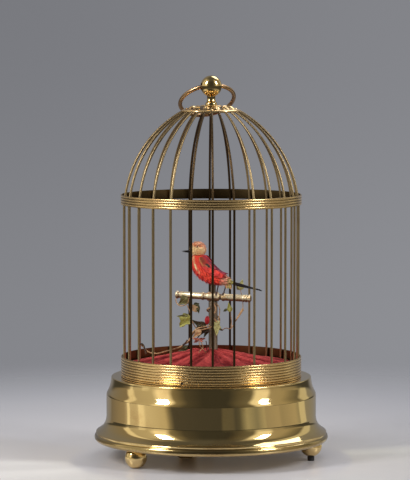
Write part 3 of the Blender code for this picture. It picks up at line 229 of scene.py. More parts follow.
# %% Tones of the room
STUDIO_TONES = (
    (-180, (0.22, 0.22, 0.23)),
    (-152, (0.22, 0.22, 0.23)),
    (-146, (0.17, 0.15, 0.12)),
    (-112, (0.30, 0.26, 0.20)),
    (-106, (0.46, 0.42, 0.34)),
    (-105, (1.00, 0.96, 0.82)),
    (-101, (0.98, 0.94, 0.80)),
    (-100, (0.58, 0.54, 0.44)),
    (-86, (0.60, 0.56, 0.45)),
    (-85, (0.98, 0.94, 0.80)),
    (-77, (0.90, 0.86, 0.72)),
    (-74, (0.66, 0.62, 0.50)),
    (-47, (0.54, 0.49, 0.36)),
    (-42, (0.20, 0.18, 0.13)),
    (-37, (0.035, 0.034, 0.032)),
    (12, (0.03, 0.03, 0.028)),
    (13, (0.10, 0.095, 0.07)),
    (25, (0.09, 0.085, 0.065)),
    (28, (0.045, 0.046, 0.042)),
    (33, (0.07, 0.07, 0.055)),
    (42, (0.37, 0.36, 0.27)),
    (54, (0.22, 0.22, 0.18)),
    (64, (0.42, 0.40, 0.30)),
    (66, (0.34, 0.31, 0.24)),
    (84, (0.40, 0.36, 0.27)),
    (88, (0.32, 0.29, 0.22)),
    (112, (0.42, 0.38, 0.28)),
    (120, (0.30, 0.29, 0.22)),
    (122, (0.62, 0.60, 0.46)),
    (134, (0.60, 0.58, 0.46)),
    (136, (0.26, 0.26, 0.24)),
    (180, (0.22, 0.22, 0.23)),
)
UPPER_TONES = (
    (-180, (0.22, 0.22, 0.23)),
    (-152, (0.22, 0.22, 0.23)),
    (-112, (0.26, 0.23, 0.18)),
    (-108, (0.90, 0.85, 0.70)),
    (-101, (0.90, 0.85, 0.70)),
    (-97, (0.52, 0.48, 0.38)),
    (-72, (0.58, 0.54, 0.42)),
    (-67, (0.90, 0.84, 0.70)),
    (-64, (1.15, 1.08, 0.90)),
    (-51, (1.05, 0.98, 0.82)),
    (-45, (0.26, 0.23, 0.16)),
    (-30, (0.085, 0.08, 0.065)),
    (-10, (0.05, 0.05, 0.045)),
    (20, (0.05, 0.05, 0.045)),
    (34, (0.13, 0.12, 0.09)),
    (47, (0.18, 0.17, 0.13)),
    (53, (1.00, 0.96, 0.80)),
    (67, (1.05, 1.00, 0.84)),
    (72, (0.42, 0.38, 0.29)),
    (90, (0.40, 0.36, 0.26)),
    (104, (0.24, 0.22, 0.16)),
    (116, (0.15, 0.14, 0.11)),
    (122, (0.60, 0.58, 0.46)),
    (134, (0.60, 0.58, 0.46)),
    (138, (0.26, 0.26, 0.24)),
    (180, (0.22, 0.22, 0.23)),
)


def tones(finish, across, depth, levels, stretch=1.0, turn=0.0):
    """The room's tone in the direction (across, depth). 0 degrees is towards the camera, + is right."""
    angle = finish.node("ShaderNodeMath", {"operation": "ARCTAN2"}, {0: across, 1: depth * -1.0})
    share = angle * (stretch / (2 * math.pi)) + turn + 0.5
    stops = [((degrees + 180) / 360, (*tone, 1.0)) for degrees, tone in levels]
    return finish.node("ShaderNodeValToRGB", {"stops": stops}, {"Fac": share}, "Color")


LEVEL_DARK, TOP_DARK, FLOOR_GLOW = (0.06, 0.06, 0.055, 1.0), (0.10, 0.10, 0.095, 1.0), (0.30, 0.28, 0.25, 1.0)
SOFT_LIGHT = (0.34, 0.34, 0.35, 1.0)
world = bpy.data.worlds.new("studio")
bpy.context.scene.world = world
room = Finish(world)
across, depth, up = room.split(room.node("ShaderNodeTexCoord", {}, {}, "Generated"))
sideways = room.between(across, -0.09, 0.09)
low_grey = room.blend(sideways, colour(133, 134, 139), colour(142, 143, 148))
high_grey = room.blend(sideways, colour(121, 122, 127), colour(131, 132, 137))
backdrop = room.blend(room.between(up, -0.13, 0.01), low_grey, high_grey)
level = room.between(up, -0.01, 0.06)
low_room = tones(room, across, depth, STUDIO_TONES)
high_room = tones(room, across, depth, UPPER_TONES)
walls = room.blend(level, LEVEL_DARK, room.blend(room.between(up, 0.03, 0.12), low_room, high_room))
behind = room.between(depth, 0.80, 0.95)
walls = room.blend(behind, walls, backdrop)
walls = room.blend(room.between(up, 0.70, 0.98), walls, TOP_DARK)
walls = room.blend(1.0 - room.between(up, -0.6, -0.3), walls, FLOOR_GLOW)
seen = room.node("ShaderNodeLightPath", {}, {}, "Is Camera Ray")
reflected = room.node("ShaderNodeLightPath", {}, {}, "Is Glossy Ray")
sky = room.blend(reflected, SOFT_LIGHT, walls)
sky = room.blend(seen, sky, backdrop)
room.feed(world.node_tree.nodes["Background"].inputs["Color"], sky)
print("tones of the room:", len(STUDIO_TONES), "low and", len(UPPER_TONES), "high")

# %% Softboxes, each with its azimuth, elevation, distance, width, height and power
LAMP_TARGET = Vector((0.0, 0.0, 0.12))
LAMPS = {
    "left_softbox": (-60.0, 38.0, 1.5, 0.32, 0.60, 13.0),
    "right_softbox": (66.0, 36.0, 1.6, 0.25, 0.60, 11.0),
    "back_fill": (150.0, 50.0, 1.8, 0.9, 0.9, 7.0),
    "front_fill": (-12.0, 24.0, 1.5, 0.9, 0.9, 5.0),
}
for lamp_name, (azimuth, elevation, distance, width, tall, power) in LAMPS.items():
    lamp_data = bpy.data.lights.new(lamp_name, "AREA")
    lamp_data.shape = "RECTANGLE"
    lamp_data.size, lamp_data.size_y = width, tall
    lamp_data.energy = power
    lamp = bpy.data.objects.new(lamp_name, lamp_data)
    turn, lift = math.radians(azimuth), math.radians(elevation)
    towards = Vector((math.sin(turn) * math.cos(lift), -math.cos(turn) * math.cos(lift), math.sin(lift)))
    lamp.location = towards * distance + LAMP_TARGET
    lamp.rotation_euler = towards.to_track_quat("Z", "Y").to_euler()
    lamp.visible_glossy = lamp_name != "front_fill"
    bpy.context.scene.collection.objects.link(lamp)
print("lamps:", len(LAMPS))


# %% Helpers for meshes
def linked(name, vertices, faces):
    """A new object in the scene, made of points and faces."""
    mesh = bpy.data.meshes.new(name)
    mesh.from_pydata([tuple(v) for v in vertices], [], faces)
    obj = bpy.data.objects.new(name, mesh)
    bpy.context.scene.collection.objects.link(obj)
    return obj


def grid_faces(rows, columns, closed=False, looped=False, flipped=False):
    """Faces between rows of points. Closed joins the ends of a row, looped the last row to the first."""
    faces = []
    for row in range(rows if looped else rows - 1):
        near, far = row * columns, (row + 1) % rows * columns
        for column in range(columns if closed else columns - 1):
            ahead = (column + 1) % columns
            if flipped:
                faces.append((near + column, near + ahead, far + ahead, far + column))
            else:
                faces.append((near + column, far + column, far + ahead, near + ahead))
    return faces


ATTRIBUTE_KINDS = {1: ("FLOAT", "value"), 3: ("FLOAT_VECTOR", "vector"), 4: ("FLOAT_COLOR", "color")}


def mark(obj, label, values):
    """Stores a number, a vector or a colour at every point, whichever the length of the list fits."""
    kind, key = ATTRIBUTE_KINDS[len(values) // len(obj.data.vertices)]
    obj.data.attributes.new(label, kind, "POINT").data.foreach_set(key, values)


def map_points(obj, label, places):
    """Gives the mesh a UV map with one place for every point."""
    layer = obj.data.uv_layers.new(name=label)
    for loop in obj.data.loops:
        layer.data[loop.index].uv = places[loop.vertex_index]


def opened(obj):
    """The object's mesh, ready to be cut and joined."""
    shape = bmesh.new()
    shape.from_mesh(obj.data)
    return shape


def stored(shape, obj):
    """Writes the changed mesh back to its object."""
    shape.to_mesh(obj.data)
    shape.free()


def baked(obj):
    """Replaces the object's mesh by what its modifiers make of it."""
    bpy.context.view_layer.update()
    graph = bpy.context.evaluated_depsgraph_get()
    mesh = bpy.data.meshes.new_from_object(obj.evaluated_get(graph), depsgraph=graph)
    obj.modifiers.clear()
    obj.data = mesh
    return obj


def thickened(obj, thickness, offset):
    """The sheet with a thickness, which grows inwards at offset -1, outwards at 1 and both ways at 0."""
    modifier = obj.modifiers.new("thickness", "SOLIDIFY")
    modifier.thickness, modifier.offset = thickness, offset
    return baked(obj)


def dress(obj, material, body, slot, *nodes, sharp=35.0):
    """Gives a finished piece its material, shading and body, and hides the CAD nodes it stands for.
    The slot is not used.
    """
    if material is not None:
        obj.data.materials.clear()
        obj.data.materials.append(material)
    obj.data.shade_smooth()
    obj.data.set_sharp_from_angle(angle=math.radians(sharp))
    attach(obj, body)
    if nodes:
        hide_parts(*nodes)
    print(f"{obj.name}: {len(obj.data.vertices)} points")
    return obj


def revolved(name, profile, steps=160, bore=False):
    """Turns (radius, height) points about Z. They run down the outside, and with a bore back up inside."""
    vertices, rings, faces = [], [], []
    for radius, height in profile:
        start = len(vertices)
        if radius < 0.001 * MM:
            vertices.append((0.0, 0.0, height))
            rings.append([start] * steps)
            continue
        for step in range(steps):
            angle = 2 * math.pi * step / steps
            vertices.append((radius * math.cos(angle), radius * math.sin(angle), height))
        rings.append(list(range(start, start + steps)))
    pairs = list(zip(rings, rings[1:]))
    if bore:
        pairs.append((rings[-1], rings[0]))
    for upper, lower in pairs:
        for step in range(steps):
            ahead = (step + 1) % steps
            corners = [upper[step], lower[step], lower[ahead], upper[ahead]]
            face = list(dict.fromkeys(corners))
            if len(face) > 2:
                faces.append(face)
    return linked(name, vertices, faces)


def between_points(a, b, c, d, t):
    """The place at share t of the way from b to c, on a smooth curve through all four."""
    return (b * 2 + (c - a) * t + (a * 2 - b * 5 + c * 4 - d) * t**2 + (b * 3 - a - c * 3 + d) * t**3) / 2


def smooth(points, steps):
    """Points on a smooth curve through the given ones."""
    points = [Vector(point) for point in points]
    ends = [points[0] * 2 - points[1]] + points + [points[-1] * 2 - points[-2]]
    path = []
    for index in range(1, len(ends) - 2):
        path += [between_points(*ends[index - 1 : index + 3], step / steps) for step in range(steps)]
    return path + [points[-1]]


def in_mm(points):
    return [tuple(value * MM for value in point) for point in points]


def joined(runs, steps):
    """One profile from runs in millimetres: two points are a straight run, and more are a curve."""
    profile = []
    for run in runs:
        profile += smooth(in_mm(run), steps) if len(run) > 2 else [Vector(point) for point in in_mm(run)]
    return profile


print("mesh helpers ready")

# %% [markdown]
# ## Table
# The table is a wide disc. It is pale near the cage and melts into the backdrop further out, where it
# turns see-through, so the picture has the soft far edge of the photographed table from every side.

# %% Table
TABLE_RADIUS = 0.9
NEAR_GREY, FAR_GREY, RIGHT_SHADE = colour(206, 203, 205), colour(178, 178, 184), colour(168, 168, 175)
table = revolved("table", [(0.0, 0.0), (TABLE_RADIUS, 0.0)], 96)
table.data.flip_normals()
table_finish = Finish(bpy.data.materials.new("pale_table"))
table_x, table_y, _ = table_finish.split(table_finish.place())
reach = (table_x * table_x + table_y * table_y) ** 0.5
table_paint = table_finish.blend(table_finish.between(reach, 0.1, 0.42), NEAR_GREY, FAR_GREY)
# Painted shade: the table is painted darker towards its right side.
table_paint = table_finish.blend(table_finish.between(table_x, 0.03, 0.22) * 0.5, table_paint, RIGHT_SHADE)
table_finish.shader(base_color=table_paint, roughness=0.28)
clear = table_finish.node("ShaderNodeBsdfTransparent", {}, {})
principled = Value(table_finish, table_finish.tree.nodes["Principled BSDF"].outputs[0])
fade = table_finish.between(reach, 0.30, 0.60)
surface = table_finish.node("ShaderNodeMixShader", {}, {0: fade, 1: principled, 2: clear})
table_finish.feed(table_finish.tree.nodes["Material Output"].inputs["Surface"], surface)
table.data.materials.append(table_finish.owner)
print(f"table {2 * TABLE_RADIUS} m across")

# %% Ring of tones on the table
RING_INNER, RING_OUTER, RING_LIFT = 0.104, 0.55, 0.003
RING_STRETCH = 1.2
reflector = revolved("tone_ring", [(RING_INNER, RING_LIFT), (RING_OUTER, RING_LIFT)], 96)
reflector.data.flip_normals()
ring_finish = Finish(bpy.data.materials.new("tone_ring"))
ring_x, ring_y, _ = ring_finish.split(ring_finish.place())
ring_reach = (ring_x * ring_x + ring_y * ring_y) ** 0.5
slant = ring_finish.between(ring_x * -1.0, 0.0, 0.05) * (ring_reach - 0.20) * 0.16
ring_tone = tones(ring_finish, ring_x, ring_y, STUDIO_TONES, RING_STRETCH, slant)
ring_finish.shader(base_color=BLACK, roughness=1.0, emission_color=ring_tone, emission_strength=1.0)
reflector.data.materials.append(ring_finish.owner)
reflector.visible_camera = False
reflector.visible_diffuse = False
reflector.visible_shadow = False
print(f"ring of tones {2 * RING_OUTER} m across")

# %% [markdown]
# ## Brass
# Every metal piece here is brass, but not the same brass. The base is spun on a lathe and lacquered, so
# it has faint rings and a soft cloud of age. The wires are duller. Those in the middle of the picture
# and on the dome look darker and softer: their colour there is a painted dark reflection, and their
# roughness also follows the place. Where a piece was made with a "recess" value, its grooves hold old
# polish and turn brown; the same brown is also painted shade, in the grooves, on inner faces and round
# the base's lower edge.


# %% Brass finishes
def brass(
    name, bright, aged, roughness, lathe=0.0, relief=1.0, metal=1.0, front=None, darkening=colour(46, 27, 12)
):
    """Brass with clouds of age, brown hollows and lathe rings; the brown is old polish and painted shade.
    A front colour, a painted dark reflection, is for x = 0 and the dome.
    """
    finish = Finish(bpy.data.materials.new(name))
    place = finish.place()
    x, y, z = finish.split(place)
    away = (x * x + y * y) ** 0.5
    rings = finish.noise(finish.node("ShaderNodeCombineXYZ", {}, {0: away, 1: z}), 2600.0, 2.0)
    clouds = finish.noise(place, 38.0, 4.0)
    specks = finish.noise(place, 420.0, 3.0)
    old = finish.between(clouds + specks * (0.35 * relief) + 0.175 * (1.0 - relief), 0.70, 1.0)
    recess = finish.attribute("recess")
    tint = finish.blend(old * 0.75, bright, aged)
    rough = roughness + old * 0.10 + specks * (0.05 * relief) + rings * (0.10 * lathe) + recess * 0.2
    # Painted dark reflection: wires near x = 0, at the front and the back, and high on the dome take the dark
    # front colour.
    if front is not None:
        sideways = (x * x) ** 0.5 / away
        tint = finish.blend(finish.between(sideways, 0.28, 0.42), front, tint)
        tint = finish.blend(finish.between(z, 0.20, 0.235) * 0.65, tint, front)
        rough = rough + finish.between(z, 0.19, 0.20) * 0.12
    # Painted shade and old polish: the recess value mixes in the dark hollow colour.
    tint = finish.blend(recess * 0.95, tint, darkening)
    normal = finish.bump(rings * lathe + specks * 0.25, 0.14 * relief, 0.03 * MM)
    shine = finish.between(recess, 0.0, 0.5) * (1.0 - metal) + metal
    return finish.shader(base_color=tint, metallic=shine, roughness=rough, normal=normal)


LACQUERED = brass(
    "lacquered_brass", colour(232, 204, 146), colour(198, 160, 106), 0.03, lathe=0.4, relief=0.4
)
# The band brass has a near-black hollow colour: painted shade in the reed valleys and on the inner face.
BAND_BRASS = brass(
    "band_brass", colour(255, 216, 152), colour(246, 196, 134), 0.15,
    relief=0.0, metal=0.78, darkening=colour(24, 13, 5),
)
WIRE = brass(
    "wire_brass", colour(190, 166, 124), colour(132, 108, 76), 0.30,
    relief=0.0, metal=0.9, front=colour(78, 61, 40),
)
GILT = brass("gilt_brass", colour(255, 218, 158), colour(226, 176, 116), 0.16, relief=0.5, metal=0.85)
RING_BRASS = brass("ring_brass", colour(192, 156, 118), colour(122, 94, 72), 0.27, relief=0.1)
POST_BRASS = brass("post_brass", colour(150, 132, 114), colour(108, 92, 78), 0.34, lathe=0.5, metal=0.75)
for material in (LACQUERED, BAND_BRASS, WIRE, GILT, RING_BRASS, POST_BRASS):
    print("finish:", material.name)

# %% [markdown]
# ## Base
# The base is one sheet of brass, pressed on a lathe over a wooden form. It has a flat deck, an ogee
# shoulder, a straight wall, a flared foot and a rolled rim. Turning one profile about the axis is how
# the real one is made, so that is used here too, with smooth runs joined at the few crisp edges.

# %% Base shell
BASE_RUNS = (
    ((4.6, 60.0), (72.5, 60.0)),
    (
        (72.5, 60.0), (73.1, 59.8), (73.3, 59.2), (73.5, 57.6),
        (74.0, 54.6), (75.0, 51.4), (76.5, 48.2), (76.9, 46.7),
    ),
    ((76.9, 46.5), (76.9, 31.0)),
    ((76.9, 30.8), (77.4, 27.5), (78.3, 25.3), (79.8, 23.1), (82.0, 21.2), (84.4, 19.6)),
    ((84.6, 19.2), (84.35, 18.6), (84.3, 18.0)),
    ((84.5, 17.8), (85.3, 17.1), (85.7, 15.6), (85.2, 13.9), (84.4, 13.2)),
    ((83.6, 13.2), (83.1, 13.6), (83.1, 18.6), (78.9, 22.4), (76.5, 27.6), (76.0, 31.0)),
    ((76.0, 46.6), (73.1, 54.3), (72.4, 59.1)),
    ((72.0, 59.1), (4.6, 59.1)),
)
# Painted shade: below 18.4 mm, on the foot of the flare and the rim, the shell is painted brown through the
# recess value.
SHADE_BELOW, SHADE_FADE, SHADE_SHARE = 18.4 * MM, 0.8 * MM, 0.42
shell = revolved("base_shell_brass", joined(BASE_RUNS, 5), 240, bore=True)
brown = [min(1.0, max(0.0, (SHADE_BELOW - v.co.z) / SHADE_FADE)) for v in shell.data.vertices]
mark(shell, "recess", [SHADE_SHARE * share for share in brown])
dress(shell, LACQUERED, "case", "polished_brass", "base_shell")


# %% Feet
FOOT_RADIUS, FOOT_DROP, FOOT_TOP = 8.0 * MM, 7.6 * MM, 13.6 * MM
FOOT_LIFTS = {"front_left": 0.0, "right": 3.3 * MM, "back": 0.0}
FOOT_STEPS = 24


def ball_foot(name, node_name, lift):
    """A polished ball, flat where it stands and where it meets the bottom plate."""
    low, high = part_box(node_name)
    centre = lift + FOOT_DROP
    upper = math.asin((FOOT_TOP - centre) / FOOT_RADIUS)
    lower = -math.asin(FOOT_DROP / FOOT_RADIUS)
    outline = [(0.0, FOOT_TOP)]
    for step in range(FOOT_STEPS + 1):
        angle = upper + (lower - upper) * step / FOOT_STEPS
        outline.append((FOOT_RADIUS * math.cos(angle), centre + FOOT_RADIUS * math.sin(angle)))
    outline.append((0.0, lift))
    foot = revolved(name, outline, 64)
    foot.data.transform(Matrix.Translation(((low.x + high.x) / 2, (low.y + high.y) / 2, 0.0)))
    return dress(foot, LACQUERED, "case", "polished_brass", node_name)


for side, lift in FOOT_LIFTS.items():
    ball_foot(f"ball_foot_{side}", f"foot_{side}", lift)

# %% [markdown]
# ## Bands
# Two bands of rolled brass hold the wires. Reeding is rolled into the strip: a row of half-round ribs
# with sharp valleys between them. The profile is made by rule from the number of ribs, and each point
# carries a "recess" value, so the brown of old polish sits in the valleys, deepened there by painted
# shade. The inner face is painted dark by the same value, as shade.


# %% Reeded bands
BAND_OUTER, BAND_INNER, REED_RELIEF = 66.1 * MM, 65.2 * MM, 0.55 * MM
REED_STEPS, BAND_STEPS = 13, 360


def reeded_profile(bottom, height, reeds, foot):
    """Points (radius, height, recess) down the outside of a band and back to its inner face."""
    outer, inner, relief = BAND_OUTER, BAND_INNER, REED_RELIEF
    pitch = (height - foot) / reeds
    # The inner face gets a high recess value: painted shade inside the band.
    points = [(inner, bottom + height, 0.85), (outer - relief, bottom + height, 0.0)]
    for reed in range(reeds):
        top = bottom + height - reed * pitch
        for step in range(REED_STEPS):
            turn = math.pi * (step + 0.5) / REED_STEPS
            level = math.sin(turn)
            depth = relief * (1 - level**0.8)
            # Each valley between reeds gets a high recess value: old polish and painted shade.
            points.append((outer - depth, top - pitch * (1 - math.cos(turn)) / 2, (1 - level) ** 0.55))
    if foot:
        points += [(outer - relief, bottom + foot, 1.0), (outer, bottom + foot * 0.8, 0.1)]
        points.append((outer, bottom, 0.3))
    return points + [(inner, bottom, 1.0)]


def reeded_band(name, bottom, height, reeds, foot):
    points = reeded_profile(bottom, height, reeds, foot)
    band = revolved(name, [(radius, level) for radius, level, _ in points], BAND_STEPS, bore=True)
    mark(band, "recess", [value for _, _, value in points for _ in range(BAND_STEPS)])
    return band


print(f"reeding {REED_RELIEF / MM:.2f} mm deep")

# %% [markdown]
# ## Geometry Nodes that repeat a piece round the axis
# The cage has 26 wires that are alike, and the bud on the vine has 5 petals. One tree serves both: it
# makes a number of points on the axis, turns each by its share of the circle, and puts the same piece on
# every one. Its last nodes make the copies real and give them their material.


# %% Tree builder
def plant(name, inputs):
    """A new node tree with named inputs, and its input and output nodes."""
    tree = bpy.data.node_groups.new(name, "GeometryNodeTree")
    tree.interface.new_socket("Geometry", in_out="INPUT", socket_type="NodeSocketGeometry")
    for label, kind in inputs.items():
        tree.interface.new_socket(label, in_out="INPUT", socket_type="NodeSocket" + kind)
    tree.interface.new_socket("Geometry", in_out="OUTPUT", socket_type="NodeSocketGeometry")
    return tree, tree.nodes.new("NodeGroupInput"), tree.nodes.new("NodeGroupOutput")


def node(tree, kind, links, **settings):
    """A node with its settings, its sockets linked from other sockets or set to plain values."""
    made = tree.nodes.new(kind)
    for name, setting in settings.items():
        setattr(made, name, setting)
    for name, value in links.items():
        if isinstance(value, bpy.types.NodeSocket):
            tree.links.new(value, made.inputs[name])
        else:
            made.inputs[name].default_value = value
    return made


def grown(obj, tree, values):
    """Runs the tree on an object with these input values, and keeps the result as a plain mesh."""
    modifier = obj.modifiers.new(tree.name, "NODES")
    modifier.node_group = tree
    for socket in tree.interface.items_tree:
        if socket.in_out == "INPUT" and socket.name in values:
            modifier[socket.identifier] = values[socket.name]
    return baked(obj)


def made_real(tree, copies, start, end):
    """The end of a tree: the copies become a real mesh and get their material."""
    real = node(tree, "GeometryNodeRealizeInstances", {"Geometry": copies.outputs[0]})
    looks = {"Geometry": real.outputs[0], "Material": start.outputs["Material"]}
    finish = node(tree, "GeometryNodeSetMaterial", looks)
    tree.links.new(finish.outputs[0], end.inputs[0])
    return tree


def ring_tree():
    sockets = {"Piece": "Object", "Count": "Int", "First": "Float", "Material": "Material"}
    tree, start, end = plant("ring_of_pieces", sockets)
    points = node(tree, "GeometryNodePoints", {"Count": start.outputs["Count"]})
    share = node(tree, "ShaderNodeMath", {0: 2 * math.pi, 1: start.outputs["Count"]}, operation="DIVIDE")
    index = node(tree, "GeometryNodeInputIndex", {})
    product = {0: index.outputs[0], 1: share.outputs[0], 2: start.outputs["First"]}
    turn = node(tree, "ShaderNodeMath", product, operation="MULTIPLY_ADD")
    spin = node(tree, "FunctionNodeEulerToRotation", {})
    euler = node(tree, "ShaderNodeCombineXYZ", {"Z": turn.outputs[0]})
    tree.links.new(euler.outputs[0], spin.inputs[0])
    source = node(tree, "GeometryNodeObjectInfo", {"Object": start.outputs["Piece"]})
    placing = {"Points": points.outputs[0], "Instance": source.outputs["Geometry"]}
    copies = node(tree, "GeometryNodeInstanceOnPoints", {**placing, "Rotation": spin.outputs[0]})
    return made_real(tree, copies, start, end)


RING_OF = ring_tree()


def around(name, source, count, first, material):
    """Copies of a piece round the cage's axis, as one mesh. The source goes when it has served."""
    holder = linked(name, [(0.0, 0.0, 0.0)], [])
    values = {"Piece": source, "Count": count, "First": math.radians(first), "Material": material}
    grown(holder, RING_OF, values)
    bpy.data.objects.remove(source)
    return holder


print("tree:", RING_OF.name)


# %% Tubes and drilled holes
def tube(name, points, radii, sides=12):
    """A tube with closed ends along points, as thick at each as its radius says."""
    points = [Vector(point) for point in points]
    if not hasattr(radii, "__len__"):
        radii = [radii] * len(points)
    ahead = (points[1] - points[0]).normalized()
    side = ahead.orthogonal().normalized()
    vertices, run = [], []
    length = 0.0
    for index, point in enumerate(points):
        before, after = points[max(index - 1, 0)], points[min(index + 1, len(points) - 1)]
        heading = (after - before).normalized()
        side = (side - heading * side.dot(heading)).normalized()
        other = heading.cross(side)
        if index:
            length += (point - points[index - 1]).length
        for step in range(sides):
            angle = 2 * math.pi * step / sides
            vertices.append(point + (side * math.cos(angle) + other * math.sin(angle)) * radii[index])
            run.append(length)
    last = (len(points) - 1) * sides
    faces = grid_faces(len(points), sides, closed=True, flipped=True)
    faces += [tuple(range(sides - 1, -1, -1)), tuple(range(last, last + sides))]
    made = linked(name, vertices, faces)
    mark(made, "along", run)
    return made


def drilled(obj, start, end, radius, sides=32):
    """The object with a round hole from start to end, made by a Boolean as a drill would."""
    drill = tube("drill", [start, end], radius, sides)
    cut = obj.modifiers.new("hole", "BOOLEAN")
    cut.object, cut.operation, cut.solver = drill, "DIFFERENCE", "EXACT"
    baked(obj)
    bpy.data.objects.remove(drill)
    return obj


print("tube and drill ready")

# %% Bands in place, the lower one drilled for its three fixing screws
SCREW_ANGLES, SCREW_HEIGHT, SCREW_RADIUS = (11.7, 131.7, 251.7), 62.2 * MM, 1.0 * MM
SCREW_FROM, SCREW_TO = 63.0, 68.0
lower_band = reeded_band("lower_reeded_band", 60.3 * MM, 14.6 * MM, 7, 0.9 * MM)
height = Vector((0.0, 0.0, SCREW_HEIGHT))
for degrees in SCREW_ANGLES:
    outward = Vector((math.cos(math.radians(degrees)), math.sin(math.radians(degrees)), 0.0))
    start, end = height + outward * SCREW_FROM * MM, height + outward * SCREW_TO * MM
    drilled(lower_band, start, end, SCREW_RADIUS, 16)
dress(lower_band, BAND_BRASS, "case", "polished_brass", "lower_band")
middle_band = reeded_band("middle_reeded_band", 186.0 * MM, 7.4 * MM, 4, 0.0)
dress(middle_band, BAND_BRASS, "case", "polished_brass", "mid_band")

# %% [markdown]
# ## Cage
# Each wire runs straight up inside both bands, then bends over the dome on a circle whose centre lies
# past the axis, which gives the dome its slightly pointed shape. One wire is made and copied 26 times.

# %% Cage wires
BAR_COUNT, FIRST_BAR = 26, 271.0
BAR_RADIUS, BAR_CIRCLE = 0.85 * MM, 64.0 * MM
DECK, SHOULDER = 60.3 * MM, 187.0 * MM
DOME_RADIUS, DOME_OFFSET, DOME_CENTRE = 83.7 * MM, -19.8 * MM, 180.9 * MM
DOME_FOOT, DOME_TOP = 63.4 * MM, 20.9 * MM
STRAIGHT_STEPS, DOME_STEPS = 12, 24


def dome_angle(radius):
    return math.acos((radius - DOME_OFFSET) / DOME_RADIUS)


wire = []
for step in range(STRAIGHT_STEPS + 1):
    wire.append((BAR_CIRCLE, 0.0, DECK + (SHOULDER - DECK) * step / STRAIGHT_STEPS))
first, last = dome_angle(DOME_FOOT), dome_angle(DOME_TOP)
for step in range(1, DOME_STEPS + 1):
    angle = first + (last - first) * step / DOME_STEPS
    across, up = DOME_RADIUS * math.cos(angle), DOME_RADIUS * math.sin(angle)
    wire.append((DOME_OFFSET + across, 0.0, DOME_CENTRE + up))
one_wire = tube("one_wire", wire, BAR_RADIUS, 20)
cage = around("cage_wires", one_wire, BAR_COUNT, FIRST_BAR, WIRE)
BAR_NODES = [f"cage_bar_{number:02d}" for number in range(1, BAR_COUNT + 1)]
dress(cage, WIRE, "case", "polished_brass", *BAR_NODES, sharp=50)

# %% [markdown]
# ## Rosette
# A die stamps the rosette from thin sheet: a dished disc with a ring of leaves, beads between them and a
# rolled, scalloped rim. The relief is a height formula on a polar grid, as a die gives a smooth surface
# with soft edges, and the low places and the underside carry the "recess" value, which darkens them:
# old polish and painted shade.

# %% Rosette
ROSETTE_RADIUS, RIM_BOTTOM, CENTRE_BOTTOM = 21.9 * MM, 253.2 * MM, 256.9 * MM
ROSETTE_HOLE, ROSETTE_SHEET, ROSETTE_RELIEF = 1.65 * MM, 0.7 * MM, 1.5 * MM
PETALS = 12
ROSETTE_RINGS, ROSETTE_STEPS = 34, PETALS * 24
UNDERSIDE = ((ROSETTE_RADIUS * 0.985, 1), (ROSETTE_RADIUS * 0.93, 1), (12 * MM, 0), (ROSETTE_HOLE, 0))


def dish(radius):
    """Height of the sheet's underside: nearly flat in the middle, and lower towards the rim."""
    return RIM_BOTTOM + (CENTRE_BOTTOM - RIM_BOTTOM) * (1 - (radius / ROSETTE_RADIUS) ** 2.8)


def hump(value, centre, width):
    """1 at the centre, falling to 0 at the given width to each side."""
    away = abs(value - centre) / width
    return 0.5 + 0.5 * math.cos(math.pi * min(away, 1.0))


def rosette_relief(radius, angle):
    """Height of the stamped pattern, from 0 in the ground to 1 on the leaves."""
    out = radius / ROSETTE_RADIUS
    share = (angle * PETALS / (2 * math.pi)) % 1.0 - 0.5
    reach = hump(out, 0.66, 0.27)
    leaf = max(0.0, 1 - (abs(share) / (0.36 * max(reach, 0.05))) ** 2) * reach
    vein = 1 - 0.45 * hump(share, 0.0, 0.06)
    lobes = 0.85 + 0.15 * math.cos(9 * math.pi * out)
    bead = hump(out, 0.83, 0.075) * hump(abs(share), 0.5, 0.2) * 0.7
    inner = hump(out, 0.33, 0.06) * 0.7
    rim = 0.55 * min(1.0, 1.6 * hump(out, 0.955, 0.08))
    return max(leaf * vein * lobes, bead, inner, rim)


def scalloped(radius, angle, share):
    """A place on a ring that dips by a share between the petals."""
    dipped = radius * (1 - 0.012 * share * (0.5 - 0.5 * math.cos(PETALS * angle)))
    return dipped * math.cos(angle), dipped * math.sin(angle)


vertices, recess = [], []
ANGLES = [2 * math.pi * step / ROSETTE_STEPS for step in range(ROSETTE_STEPS)]
for index in range(ROSETTE_RINGS + 1):
    radius = ROSETTE_HOLE + (ROSETTE_RADIUS - ROSETTE_HOLE) * index / ROSETTE_RINGS
    for angle in ANGLES:
        relief = rosette_relief(radius, angle)
        height = dish(radius) + ROSETTE_SHEET + ROSETTE_RELIEF * relief
        vertices.append((*scalloped(radius, angle, (radius / ROSETTE_RADIUS) ** 8), height))
        # Low places get more of the recess value: old polish and painted shade.
        recess.append(max(0.0, 0.8 - 1.6 * relief))
# The underside gets a little of it too: painted shade.
for radius, share in UNDERSIDE:
    vertices += [(*scalloped(radius, angle, share), dish(radius)) for angle in ANGLES]
    recess += [0.3] * ROSETTE_STEPS
faces = grid_faces(ROSETTE_RINGS + 1 + len(UNDERSIDE), ROSETTE_STEPS, closed=True, looped=True)
rosette = linked("stamped_rosette", vertices, faces)
mark(rosette, "recess", recess)
dress(rosette, GILT, "case", "polished_brass", "rosette", sharp=70)

# %% [markdown]
# ## Ball, neck and carry ring
# The finial is turned from one bar: a ball over a waisted neck. A hole goes straight through the ball,
# and the ring hangs in it, so the ball is cut with a drill by a Boolean, as the real one is drilled.

